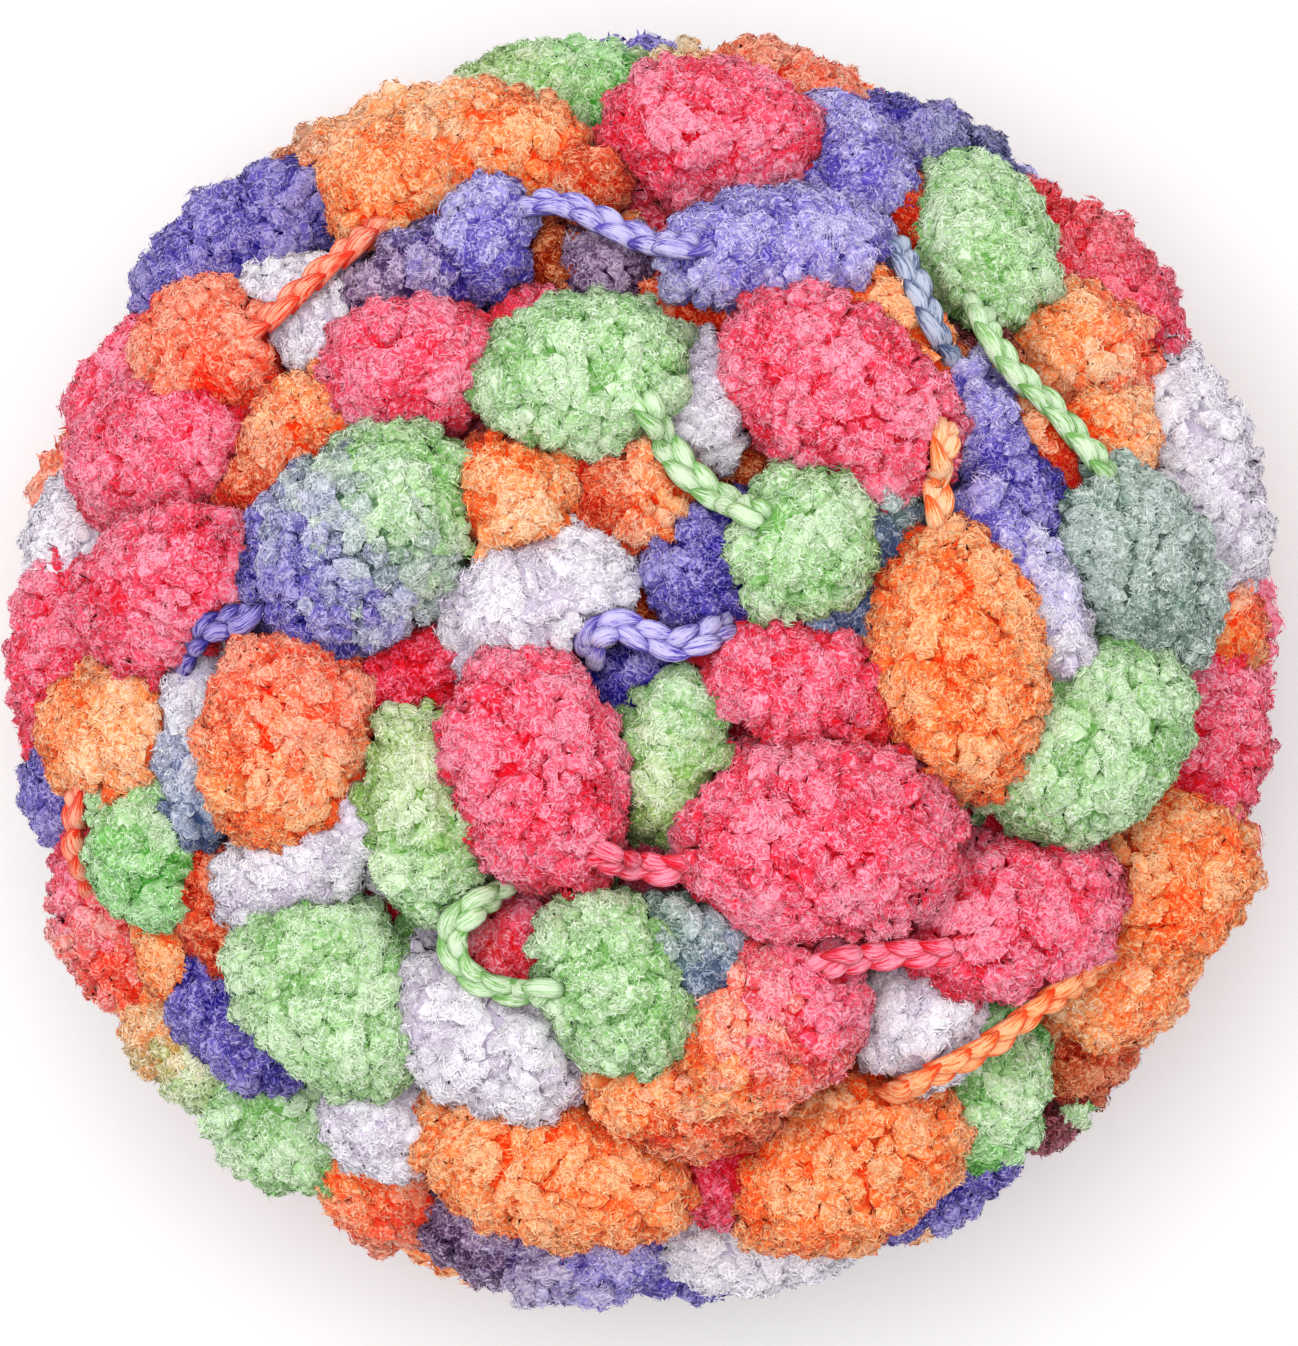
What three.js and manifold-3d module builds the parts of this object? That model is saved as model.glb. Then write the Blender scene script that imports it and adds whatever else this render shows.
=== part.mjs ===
// A ball of pom pom yarn: fluffy pom poms joined by a short plaited cord, wound into a
// broad, low ball that stands on a small flat spot. The yarn is one piece, so the ball is
// one solid. Its surface is the outermost pom pom in each direction from the ball's middle,
// with the cords that cross the top joined on.
// Millimetres, +Z up, with the origin in the middle of the flat spot.
import * as THREE from "three";
import { mergeVertices } from "three/addons/utils/BufferGeometryUtils.js";
import Module from "manifold-3d";

// Sizes of the ball
const ballRadius = 87;
const ballHeight = 104; // of the even surface, which the highest pom poms stand out of
const middleHeight = 50; // height of the widest turn
const shoulderPower = 2.6; // 2 is an ellipse, and more is a flatter top with fuller shoulders
const coreInset = 13; // depth of the packed turns under the outer pom poms
const footPress = 2.5; // how much the lowest pom poms are pressed flat
const slopeStep = 2; // distance over which a pom pom reads the ball's slope
const steepest = 1.3; // steepest slope that a pom pom follows
const lengthened = 1.06; // how much the winding spreads the top pom poms along their line
const widened = 1.1; // and across it
const lowLift = -6; // a pom pom of the top this far down or further is pressed broader
const lowWidened = 1.25;

// Sizes of the yarn
const cordWidth = 5;
const plaitPitch = 5.5; // length of one loop of the plait
const plaitBulge = 0.14; // how much each loop swells on its own side of the groove
// The cord's section, across it and up, in half widths: two ridges with a groove between
// them, and an underside that is bedded in the pile.
const cordOutline = [
  [1, 0],
  [0.72, 0.72],
  [0, 0.4],
  [-0.72, 0.72],
  [-1, 0],
  [-0.5, -1.6],
  [0.5, -1.6],
];
const bedDepth = 4.6; // how far under a cord's middle the tufts that carry it lie
const bedWidth = 8;
const cordChecks = 30; // points of a cord that the dye near it is read from
const cordLevel = -3; // height of a cord's middle above the ball's even surface
const cordSeat = 1.1; // how far a cord's middle stands clear of a pom pom that it crosses
const cordDive = 7; // how far the ends of a cord run in under the pom poms
const tuftHeight = 1.6; // how far a single tuft stands out of a pom pom
const surfaceDetail = 19; // divisions of each edge of the starting icosahedron
const topShare = 0.2; // how much closer the surface's points lie on the top than below

// The dyes of the yarn, as they look in the pile
const dyes = {
  rose: 0xf4566e,
  cherry: 0xd8294a,
  scarlet: 0xd62f33,
  coral: 0xf9704c,
  ember: 0xdc4a22,
  orange: 0xfb8a45,
  peach: 0xfda868,
  rust: 0xb94a1c,
  straw: 0xd3dc94,
  mint: 0xb4e6a0,
  leaf: 0x86c96f,
  sage: 0xa9c7ac,
  slate: 0x8a98b8,
  lilac: 0x9c90e0,
  violet: 0x6557b8,
  navy: 0x3a3a72,
  white: 0xeae4ee,
  maroon: 0x6e1c26,
};

// The pom poms on the top of the ball, as seen from above. x and y are the middle, turn is
// the way the pom pom lies in degrees from +X, long and wide are its size, and lift is how
// far it stands above the ball's even surface. It is dyed from one end to the other.
const topColumns = ["x", "y", "turn", "long", "wide", "lift", "dye", "endDye"];
const topPompoms = [
  // The outer turn, clockwise from the top
  [-13, 77.5, 2, 29, 15, -1, "straw", "leaf"],
  [3, 79, -3, 17, 11, -4, "straw", "peach"],
  [18, 77.5, -12, 25, 13, -4, "ember", "coral"],
  [39.5, 69, -30, 28, 14, -4, "violet", "navy"],
  [60, 52.5, -46, 33, 16, -1, "scarlet", "cherry"],
  [74, 27, -72, 36, 18, 1, "white", "white"],
  [78, 6.5, 88, 15, 13, -3, "orange", "coral"],
  [75.5, -9, 88, 28, 18, -1, "cherry", "rose"],
  [70.5, -28.5, 52, 25, 21, 3, "orange", "orange"],
  [64.5, -42, 34, 22, 17, 1, "peach", "orange"],
  [59, -51, 42, 21, 15, -5, "rust", "ember"],
  [56, -57, 44, 13, 10, -9, "straw", "leaf"],
  [51, -59, 44, 14, 12, -9, "maroon", "maroon"],
  [39.5, -68, 33, 27, 14, -4, "violet", "violet"],
  [16, -76.5, 6, 31, 15, -4, "white", "white"],
  [-14, -77, -11, 35, 16, -2, "violet", "lilac"],
  [-36.5, -69, -52, 20, 15, -3, "orange", "coral"],
  [-49, -60.5, -45, 23, 18, -1, "mint", "mint"],
  [-62, -49.5, -52, 22, 15, -1, "peach", "straw"],
  [-71, -34.5, -66, 29, 16, -1, "rose", "coral"],
  [-78, -17, -78, 16, 11, -6, "violet", "violet"],
  [-77, 3, 82, 28, 17, 0, "rose", "rose"],
  [-75.5, 18, 70, 20, 16, -3, "white", "white"],
  [-69, 38, 62, 24, 15, 0, "rose", "rose"],
  [-54.5, 57.5, 36, 33, 17, -2, "violet", "lilac"],
  [-43.5, 66.5, 32, 17, 13, -5, "rust", "peach"],
  // Upper left
  [-33, 64.5, 62, 21, 19, 5, "orange", "peach"],
  [-20.5, 70, -14, 30, 17, 1, "peach", "orange"],
  [-8.5, 65.5, -12, 13, 10, -4, "orange", "ember"],
  [-27.5, 53, 12, 24, 14, -1, "violet", "lilac"],
  [-20.5, 58, 72, 16, 11, 1, "lilac", "lilac"],
  [-13, 53.5, 80, 15, 12, -9, "rust", "rust"],
  [-5, 52.5, 0, 14, 11, -8, "slate", "slate"],
  [-44, 46.5, -42, 22, 15, -4, "white", "white"],
  [-58, 42, -22, 23, 19, 5, "coral", "coral"],
  [-64.5, 29, 24, 31, 20, 3, "rose", "rose"],
  [-46.5, 28.5, 54, 27, 15, -3, "ember", "orange"],
  [-30.5, 40, 4, 23, 18, 2, "rose", "rose"],
  [-16.5, 44.5, 24, 13, 9, -6, "rose", "rose"],
  // Upper middle and right
  [9.5, 71.5, -4, 30, 20, 6, "rose", "rose"],
  [27, 68, -58, 25, 15, -1, "lilac", "lilac"],
  [18, 55.5, 2, 31, 15.5, 3, "lilac", "lilac"],
  [6, 46.5, -15, 21, 12, -9, "ember", "ember"],
  [-8, 38.5, 8, 27, 20, 5, "mint", "mint"],
  [9, 36, 76, 17, 12, -3, "white", "white"],
  [12.5, 27.5, -20, 15, 10, -10, "rust", "rust"],
  [25.5, 36, -32, 33, 22.5, 6, "rose", "rose"],
  [32.5, 44.5, -42, 23, 13, -2, "orange", "orange"],
  [45, 57.5, -76, 29, 18.5, 5, "mint", "mint"],
  [35.3, 61, 86, 15, 9, -7, "ember", "orange"],
  [59, 43, -28, 22, 17, 0, "peach", "coral"],
  [62.5, 31.5, -22, 15, 11, -2, "orange", "peach"],
  [53, 29.5, -62, 17, 11, -4, "orange", "ember"],
  [44.5, 41.5, -50, 11, 9, -9, "maroon", "rust"],
  [46.5, 29, -64, 27, 12, -3, "lilac", "violet"],
  // Middle right
  [50.5, 10.5, -60, 31, 12, -1, "lilac", "white"],
  [64.5, 14, -60, 33, 20, 2, "mint", "violet"],
  [41.5, 1.5, -82, 35, 21.5, 6, "orange", "orange"],
  [59, -9, 38, 31, 23, 4, "mint", "mint"],
  [31, 19.5, 80, 14, 11, -3, "slate", "sage"],
  [25.5, 8, 8, 17, 11, -4, "slate", "slate"],
  [20.5, 16.5, 62, 19, 17.5, 6, "mint", "mint"],
  [9, 13.5, 62, 21, 14, -2, "violet", "violet"],
  [-1.5, -2.5, -50, 16, 13, -8, "violet", "violet"],
  [0.5, 11, 90, 13, 8, -9, "rust", "rust"],
  [19.5, -1, -12, 25, 16.5, 1, "rose", "rose"],
  [28, -4.5, -42, 15, 13, -3, "scarlet", "scarlet"],
  [3.5, -11, 76, 22, 13.5, -1, "straw", "mint"],
  // Middle left
  [-14, 9.5, 22, 27, 17.5, 0, "white", "white"],
  [-17.5, 23, -30, 18, 17, 0, "orange", "peach"],
  [-2, 23.5, 0, 19, 15, -3, "ember", "orange"],
  [-37, 17, 40, 35, 25, 6, "violet", "mint"],
  [-63, 10.5, 30, 28, 20, 5, "rose", "rose"],
  [-71, -8.5, 12, 23, 18, 4, "orange", "peach"],
  [-59.5, -9, 88, 30, 11, -5, "slate", "white"],
  [-47, -9, 82, 29, 21.5, 6, "orange", "coral"],
  [-30.5, -1.5, 40, 18, 15, -4, "cherry", "cherry"],
  [-14, -13, -74, 33, 21.5, 7, "rose", "rose"],
  [-29, -19, -78, 29, 16.5, 1, "straw", "mint"],
  [-44.5, -24, 38, 32, 14, -2, "white", "white"],
  // Lower left
  [-67, -24, -68, 20, 15, 2, "mint", "leaf"],
  [-56, -31.5, -65, 22, 12, -6, "ember", "ember"],
  [-63, -38, -75, 14, 11, -4, "orange", "orange"],
  [-54.5, -46, -48, 23, 15, -3, "slate", "violet"],
  [-41.5, -43, -52, 29, 22, 4, "mint", "mint"],
  [-22, -48, -28, 31, 18, -1, "white", "white"],
  [-35, -60.5, -40, 17, 14, -1, "white", "white"],
  [-16, -38, 22, 19, 15, -6, "scarlet", "rose"],
  [-12, -66, -14, 37, 20, 4, "orange", "orange"],
  // Lower right
  [-3.5, -41, -62, 25, 18, 5, "mint", "mint"],
  [6.5, -37, -45, 18, 12, 0, "sage", "slate"],
  [22.5, -22.5, 4, 36, 26, 7, "rose", "rose"],
  [16, -46.5, 40, 27, 21, 5, "orange", "rose"],
  [5, -57, -12, 24, 14, 1, "orange", "ember"],
  [11, -66, 34, 18, 13, -7, "cherry", "cherry"],
  [26.5, -65.5, 22, 33, 22, 5, "orange", "orange"],
  [49, -33, 14, 31, 20, 0, "rose", "rose"],
  [36, -47, -30, 19, 17, -4, "white", "white"],
  [46, -58, 62, 21, 15, -3, "leaf", "mint"],
].map((row) =>
  Object.fromEntries(topColumns.map((name, i) => [name, row[i]])),
);

// The turns below, which run round the ball and are out of sight from above. height is that
// of the pom poms' middle, and sag is how far they hang out of the ball's even surface.
const lowerTurns = [
  { height: 46, count: 16, long: 29, wide: 20, sag: 1, start: 4 },
  { height: 28, count: 14, long: 29, wide: 20, sag: 1, start: 17 },
  { height: 15, count: 10, long: 28, wide: 20, sag: 0, start: 0 },
  { height: 10, count: 5, long: 27, wide: 20, sag: 0, start: 30 },
];
const lowerDyes = [
  "rose",
  "orange",
  "white",
  "mint",
  "violet",
  "coral",
  "lilac",
  "peach",
];
const turnRadii = [76, 67.5, 47, 24]; // of each lower turn, to the pom poms' middles
const tiltOfTurn = 7; // degrees by which each pom pom leans out of its turn

// The plaited cords that cross the top between pom poms, by the points that they pass as
// seen from above. The two ends of each are hidden under pom poms.
const topCords = [
  {
    dye: "lilac",
    through: [
      [-20, 59.5],
      [-14, 61.8],
      [-9, 61],
      [-4, 58.4],
      [1, 56.3],
      [6, 55.6],
      [11, 56],
    ],
  },
  {
    dye: "mint",
    through: [
      [-5, 38],
      [0, 34.6],
      [2.5, 30],
      [6, 25.5],
      [10.5, 22],
      [14.5, 20.2],
      [19, 18],
    ],
  },
  {
    dye: "mint",
    through: [
      [44, 50],
      [45.6, 44.6],
      [49, 39.6],
      [53.2, 35.6],
      [57.2, 31.2],
      [60.5, 27.4],
      [64, 22],
    ],
  },
  {
    dye: "peach",
    through: [
      [39, 35],
      [39.2, 30],
      [38.5, 25],
      [38.7, 20],
      [40, 14],
    ],
  },
  {
    dye: "slate",
    through: [
      [32, 59],
      [34.6, 54],
      [36.6, 49],
      [38.6, 44.5],
      [42, 39],
    ],
  },
  {
    dye: "coral",
    through: [
      [-34, 61],
      [-38.4, 56.6],
      [-42.4, 53.4],
      [-46.2, 50],
      [-50, 46.6],
      [-55, 44],
    ],
  },
  {
    dye: "lilac",
    through: [
      [13, 7],
      [8, 4.4],
      [4, 3.2],
      [0.5, 4.4],
      [-3.2, 5.8],
      [-6.4, 4.6],
      [-7.4, 0],
    ],
  },
  {
    dye: "mint",
    through: [
      [-17, -28],
      [-22.4, -31],
      [-25.2, -34.6],
      [-24, -38.8],
      [-20.5, -41.4],
      [-16, -42.2],
      [-12.6, -42],
      [-7, -42],
    ],
  },
  {
    dye: "violet",
    through: [
      [-47.5, 9.5],
      [-52, 7.2],
      [-55, 6],
      [-58, 5],
      [-62.5, -0.5],
    ],
  },
  {
    dye: "coral",
    through: [
      [-74, -12],
      [-76, -17],
      [-76.6, -21],
      [-76.6, -25],
      [-75, -31],
    ],
  },
  {
    dye: "rose",
    through: [
      [-11, -21],
      [-5.6, -24],
      [-1, -25.4],
      [3.6, -26],
      [10, -25],
    ],
  },
  {
    dye: "rose",
    through: [
      [17, -40],
      [24, -38.4],
      [29, -37.6],
      [34, -37.2],
      [39, -37.2],
      [46, -36],
    ],
  },
  {
    dye: "orange",
    through: [
      [62, -39],
      [56.5, -42.2],
      [52, -45.2],
      [47.6, -48.6],
      [43, -51.4],
      [38, -53.8],
      [31, -57.5],
    ],
  },
];

const middle = new THREE.Vector3(0, 0, middleHeight);

// Height of the ball's even surface, taken in by inset, at a distance from the ball's axis.
function surfaceHeight(distance, inset) {
  const out = Math.min(distance / (ballRadius - inset), 0.985);
  const rise = ballHeight - inset - middleHeight;
  return middleHeight + rise * Math.sqrt(1 - out ** shoulderPower);
}

// A pom pom as an egg: its middle, its own axes and its three half sizes.
function egg(centre, along, outward, long, wide, dye, endDye) {
  const x = along.clone().normalize();
  const y = new THREE.Vector3().crossVectors(outward, x).normalize();
  const z = new THREE.Vector3().crossVectors(x, y);
  const half = new THREE.Vector3(long / 2, wide / 2, wide / 2);
  return { centre, axes: [x, y, z], half, dye, endDye };
}

function topPompom({ x, y, turn, long, wide, lift, dye, endDye }) {
  const spread = wide * (lift <= lowLift ? lowWidened : widened);
  const heightAt = (px, py) => surfaceHeight(Math.hypot(px, py), spread / 2);
  const angle = THREE.MathUtils.degToRad(turn);
  const dx = Math.cos(angle);
  const dy = Math.sin(angle);
  const ahead = heightAt(x + dx * slopeStep, y + dy * slopeStep);
  const behind = heightAt(x - dx * slopeStep, y - dy * slopeStep);
  const slope = THREE.MathUtils.clamp(
    (ahead - behind) / (2 * slopeStep),
    -steepest,
    steepest,
  );
  const centre = new THREE.Vector3(x, y, heightAt(x, y) + lift);
  const outward = centre.clone().sub(middle).normalize();
  const along = new THREE.Vector3(dx, dy, slope);
  return egg(centre, along, outward, long * lengthened, spread, dye, endDye);
}

function lowerPompoms() {
  const made = [];
  lowerTurns.forEach(({ height, count, long, wide, sag, start }, turn) => {
    for (let i = 0; i < count; i++) {
      const angle = THREE.MathUtils.degToRad(start) + (2 * Math.PI * i) / count;
      const out = new THREE.Vector3(Math.cos(angle), Math.sin(angle), 0);
      const centre = out.clone().multiplyScalar(turnRadii[turn] + sag);
      centre.z = height - (turn > 1 ? footPress : 0);
      const lean = THREE.MathUtils.degToRad(tiltOfTurn) * (i % 2 ? 1 : -1);
      const along = new THREE.Vector3(-out.y, out.x, Math.tan(lean));
      const dye = lowerDyes[(i * 3 + turn * 5) % lowerDyes.length];
      const outward = centre.clone().sub(middle).normalize();
      made.push(egg(centre, along, outward, long, wide, dye, dye));
    }
  });
  const foot = lowerTurns.at(-1);
  const centre = new THREE.Vector3(0, 0, foot.wide / 2 - footPress);
  const down = new THREE.Vector3(0, 0, -1);
  const along = new THREE.Vector3(1, 0, 0);
  made.push(egg(centre, along, down, foot.long, foot.wide, "rose", "rose"));
  return made;
}

// How far a ray goes before it leaves an egg for good, or 0 if it misses the egg.
function reach(start, direction, { centre, axes, half }) {
  const from = start.clone().sub(centre);
  const foot = new THREE.Vector3(...axes.map((axis) => from.dot(axis)));
  const way = new THREE.Vector3(...axes.map((axis) => direction.dot(axis)));
  foot.divide(half);
  way.divide(half);
  const a = way.lengthSq();
  const b = foot.dot(way);
  const root = b * b - a * (foot.lengthSq() - 1);
  return root < 0 ? 0 : (-b + Math.sqrt(root)) / a;
}

function furthestReach(start, direction, pompoms) {
  return Math.max(...pompoms.map((p) => reach(start, direction, p)));
}

// The share of an egg's radius at which a point lies: under 1 inside, over 1 outside.
function depthIn(point, { centre, axes, half }) {
  const from = point.clone().sub(centre);
  return new THREE.Vector3(...axes.map((axis) => from.dot(axis)))
    .divide(half)
    .length();
}

// An even but mixed number from 0 to 1 for each whole number.
function mixed(n) {
  const s = Math.sin(n * 12.9898 + 4.1414) * 43758.5453;
  return s - Math.floor(s);
}

// How far the packed turns inside the ball reach in a direction from its middle.
function coreReach(direction) {
  const above = ballHeight - middleHeight - coreInset;
  const below = middleHeight - coreInset;
  const wide = ballRadius - coreInset;
  const core = new THREE.Vector3(wide, wide, direction.z > 0 ? above : below);
  return 1 / direction.clone().divide(core).length();
}

// The ball's surface: each point of a fine sphere goes out to the furthest pom pom on its
// ray, and no lower than the flat spot. Every point is then a tuft of its own height.
function woundSurface(pompoms) {
  const geometry = new THREE.IcosahedronGeometry(1, surfaceDetail);
  geometry.deleteAttribute("normal");
  geometry.deleteAttribute("uv");
  const surface = mergeVertices(geometry, 1e-5);
  const position = surface.getAttribute("position");
  const direction = new THREE.Vector3();
  for (let i = 0; i < position.count; i++) {
    direction.fromBufferAttribute(position, i);
    direction.z += topShare * (1 - direction.z ** 2);
    direction.z *= middleHeight / ballRadius;
    direction.normalize();
    const outer = furthestReach(middle, direction, pompoms);
    const tuft = tuftHeight * (mixed(i) - 0.6);
    const floorReach = direction.z < 0 ? -middleHeight / direction.z : Infinity;
    const far = Math.max(coreReach(direction), outer) + tuft;
    const onFloor = far >= floorReach;
    direction.multiplyScalar(Math.min(far, floorReach)).add(middle);
    position.setXYZ(i, direction.x, direction.y, onFloor ? 0 : direction.z);
  }
  return surface;
}

function cordLine({ through }, pompoms) {
  const up = new THREE.Vector3(0, 0, 1);
  const points = through.map(([x, y], i) => {
    const start = new THREE.Vector3(x, y, middleHeight);
    const pile = middleHeight + furthestReach(start, up, pompoms);
    const level = surfaceHeight(Math.hypot(x, y), 0) + cordLevel;
    const hidden = i === 0 || i === through.length - 1;
    const z = hidden ? level - cordDive : Math.max(level, pile + cordSeat);
    return new THREE.Vector3(x, y, z);
  });
  return new THREE.CatmullRomCurve3(points);
}

// The tufts that carry a cord, as a row of small round pom poms along it.
function cordBed(line) {
  const count = Math.ceil(line.getLength() / (bedWidth / 3));
  return line.getSpacedPoints(count).map((point) => {
    const outward = point.clone().sub(middle).normalize();
    const centre = point.clone().addScaledVector(outward, -bedDepth);
    const along = new THREE.Vector3(1, 0, 0);
    return egg(centre, along, outward, bedWidth, bedWidth);
  });
}

// One section of a cord. The loops of the plait swell on the two sides of the groove by
// turns.
function cordSection(line, step, steps) {
  const centre = line.getPointAt(step / steps);
  const tangent = line.getTangentAt(step / steps);
  const outward = centre.clone().sub(middle).normalize();
  const side = new THREE.Vector3().crossVectors(outward, tangent).normalize();
  const top = new THREE.Vector3().crossVectors(tangent, side);
  const swell = step % 2 ? plaitBulge : -plaitBulge;
  return cordOutline.map(([across, up]) => {
    const half = (cordWidth / 2) * (1 + swell * Math.sign(across));
    return centre
      .clone()
      .addScaledVector(side, half * across)
      .addScaledVector(top, half * up);
  });
}

function cordGeometry(line) {
  const steps = Math.round(line.getLength() / (plaitPitch / 2));
  const sides = cordOutline.length;
  const points = [];
  const faces = [];
  for (let step = 0; step <= steps; step++)
    points.push(...cordSection(line, step, steps));
  for (let step = 0; step < steps; step++)
    for (let i = 0; i < sides; i++) {
      const here = step * sides + i;
      const beside = step * sides + ((i + 1) % sides);
      faces.push(here, beside, beside + sides);
      faces.push(here, beside + sides, here + sides);
    }
  const last = steps * sides;
  for (let i = 2; i < sides; i++) {
    faces.push(0, i, i - 1);
    faces.push(last, last + i - 1, last + i);
  }
  const geometry = new THREE.BufferGeometry().setFromPoints(points);
  return geometry.setIndex(faces);
}

const wasm = await Module();
wasm.setup();

function solidOf(geometry) {
  const merged = mergeVertices(geometry, 1e-4);
  return new wasm.Manifold(
    new wasm.Mesh({
      numProp: 3,
      vertProperties: merged.getAttribute("position").array,
      triVerts: new Uint32Array(merged.index.array),
    }),
  );
}

// The ball and the cords as one closed surface.
function joined(geometries) {
  const solid = geometries.map(solidOf).reduce((all, next) => all.add(next));
  const { vertProperties, triVerts } = solid.getMesh();
  return new THREE.BufferGeometry()
    .setAttribute("position", new THREE.BufferAttribute(vertProperties, 3))
    .setIndex(new THREE.BufferAttribute(triVerts, 1));
}

// The dye at a point: that of the cord or the pom pom it belongs to.
function dyeAt(point, pompoms, cords) {
  const cord = cords.find(({ points }) =>
    points.some((p) => p.distanceTo(point) < cordWidth * 0.6),
  );
  if (cord) return new THREE.Color(dyes[cord.dye]);
  const depths = pompoms.map((p) => depthIn(point, p));
  const own = pompoms[depths.indexOf(Math.min(...depths))];
  const from = point.clone().sub(own.centre).dot(own.axes[0]) / own.half.x;
  const share = THREE.MathUtils.smoothstep(from, -0.8, 0.8);
  const start = new THREE.Color(dyes[own.dye]);
  return start.lerp(new THREE.Color(dyes[own.endDye]), share);
}

function colourByDye(geometry, pompoms, cords) {
  const position = geometry.getAttribute("position");
  const colours = new Float32Array(position.count * 3);
  const point = new THREE.Vector3();
  for (let i = 0; i < position.count; i++) {
    point.fromBufferAttribute(position, i);
    dyeAt(point, pompoms, cords).toArray(colours, i * 3);
  }
  geometry.setAttribute("color", new THREE.BufferAttribute(colours, 3));
}

function yarnBall() {
  const pompoms = [...topPompoms.map(topPompom), ...lowerPompoms()];
  const cords = topCords.map((cord) => {
    const line = cordLine(cord, pompoms);
    const points = line.getSpacedPoints(cordChecks);
    return { dye: cord.dye, line, points };
  });
  const beds = cords.flatMap(({ line }) => cordBed(line));
  const geometry = joined([
    woundSurface([...pompoms, ...beds]),
    ...cords.map(({ line }) => cordGeometry(line)),
  ]);
  colourByDye(geometry, pompoms, cords);
  geometry.computeVertexNormals();
  const pile = new THREE.MeshStandardMaterial({
    color: 0xffffff,
    vertexColors: true,
    roughness: 0.95,
    metalness: 0,
  });
  const ball = new THREE.Mesh(geometry, pile);
  ball.name = "wound_ball";
  return ball;
}

const yarn = new THREE.Group();
yarn.add(yarnBall());

export default yarn;
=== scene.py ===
"""A ball of pom pom yarn on a pale floor.

The yarn is a row of fluffy pom poms on a short plaited cord, dyed pink, orange, mint, lilac
and white along its length. It is wound into a broad, low ball that rests on a small flat
spot and is seen from straight above. Every pom pom is built tuft by tuft round its spine,
and every cord loop by loop. Lengths are in millimetres until a mesh is made.
"""

import itertools
import logging
import math
from collections.abc import Iterator, Sequence
from dataclasses import dataclass, field
from enum import Enum
from typing import Any, NamedTuple

import bpy
import numpy as np
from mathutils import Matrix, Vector

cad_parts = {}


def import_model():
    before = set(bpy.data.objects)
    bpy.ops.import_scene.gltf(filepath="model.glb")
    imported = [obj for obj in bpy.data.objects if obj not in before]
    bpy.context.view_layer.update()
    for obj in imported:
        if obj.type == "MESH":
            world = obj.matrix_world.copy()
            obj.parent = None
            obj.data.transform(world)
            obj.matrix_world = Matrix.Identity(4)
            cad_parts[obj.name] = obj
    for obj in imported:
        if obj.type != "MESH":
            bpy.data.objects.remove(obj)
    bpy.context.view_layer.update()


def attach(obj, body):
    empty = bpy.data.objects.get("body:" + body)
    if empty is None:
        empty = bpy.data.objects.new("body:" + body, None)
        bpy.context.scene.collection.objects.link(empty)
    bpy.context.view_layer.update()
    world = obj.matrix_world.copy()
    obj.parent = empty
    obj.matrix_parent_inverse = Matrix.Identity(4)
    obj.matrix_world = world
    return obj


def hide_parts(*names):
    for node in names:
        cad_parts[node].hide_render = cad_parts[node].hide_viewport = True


Array = np.ndarray
LOG = logging.getLogger("yarn")
METRES = 0.001
GOLDEN_TURN = math.pi * (3.0 - math.sqrt(5.0))
UP = np.array((0.0, 0.0, 1.0))
# How far the lowest points stay above the floor.
FLOOR_GAP = 0.05
# The share of the way from its middle to an end at which a pom pom has only that end's dye.
DYE_REACH = 0.75
# The power that gives an egg's surface from its half sizes.
EGG_POWER = 1.6
# In how many places an egg's surface is summed from end to end.
EGG_STEPS = 65
# The side of the block of noise in which each form starts at a place of its own.
GRAIN_SPAN = 80.0
# The middle grey of a noise, and how finely the noise of the curls is broken up.
GREY = 0.5
CURL_DETAIL = 1.5
# The low shine of the fibres and of the floor.
LOW_SHINE = 0.1


class Dye(Enum):
    """The dyes of the yarn, as sRGB colours."""

    ROSE = 0xF25271
    CHERRY = 0xE43452
    SCARLET = 0xE63B44
    CORAL = 0xF9704C
    EMBER = 0xDC4A22
    ORANGE = 0xFB8A45
    PEACH = 0xFDA868
    # RUST stands for orange yarn darkened as painted shade; it is given to low pom poms.
    RUST = 0xB94A1C
    STRAW = 0xBFD49A
    MINT = 0xB2D79C
    LEAF = 0x86C96F
    SAGE = 0x9FB2A9
    SLATE = 0x8A98B8
    LILAC = 0x9C8FD8
    VIOLET = 0x6A5BB8
    MAUVE = 0x85648C
    NAVY = 0x3A3A72
    WHITE = 0xE5DEE9
    # MAROON stands for red yarn darkened as painted shade; it is given to low pom poms.
    MAROON = 0x6E1C26

    @property
    def shares(self) -> Array:
        """The colour as three sRGB shares from 0 to 1."""
        return np.array([self.value >> shift & 255 for shift in (16, 8, 0)]) / 255.0

    @property
    def linear(self) -> Array:
        """The colour as three linear shares."""
        return linear(self.shares)


def linear(shares: Array) -> Array:
    """sRGB shares as linear ones."""
    return np.where(shares <= 0.04045, shares / 12.92, ((shares + 0.055) / 1.055) ** 2.4)


def dye_named(name: str) -> Dye:
    """The dye that a table row names in lower case."""
    return Dye[name.upper()]


class TopRow(NamedTuple):
    """A pom pom on the top of the ball, as seen from above.

    x and y are its middle, turn is how it lies in degrees from +X, long and wide are its
    size, and lift is how far it stands above the ball's even surface.
    """

    x: float
    y: float
    turn: float
    long: float
    wide: float
    lift: float
    dye: str
    end_dye: str
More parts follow.
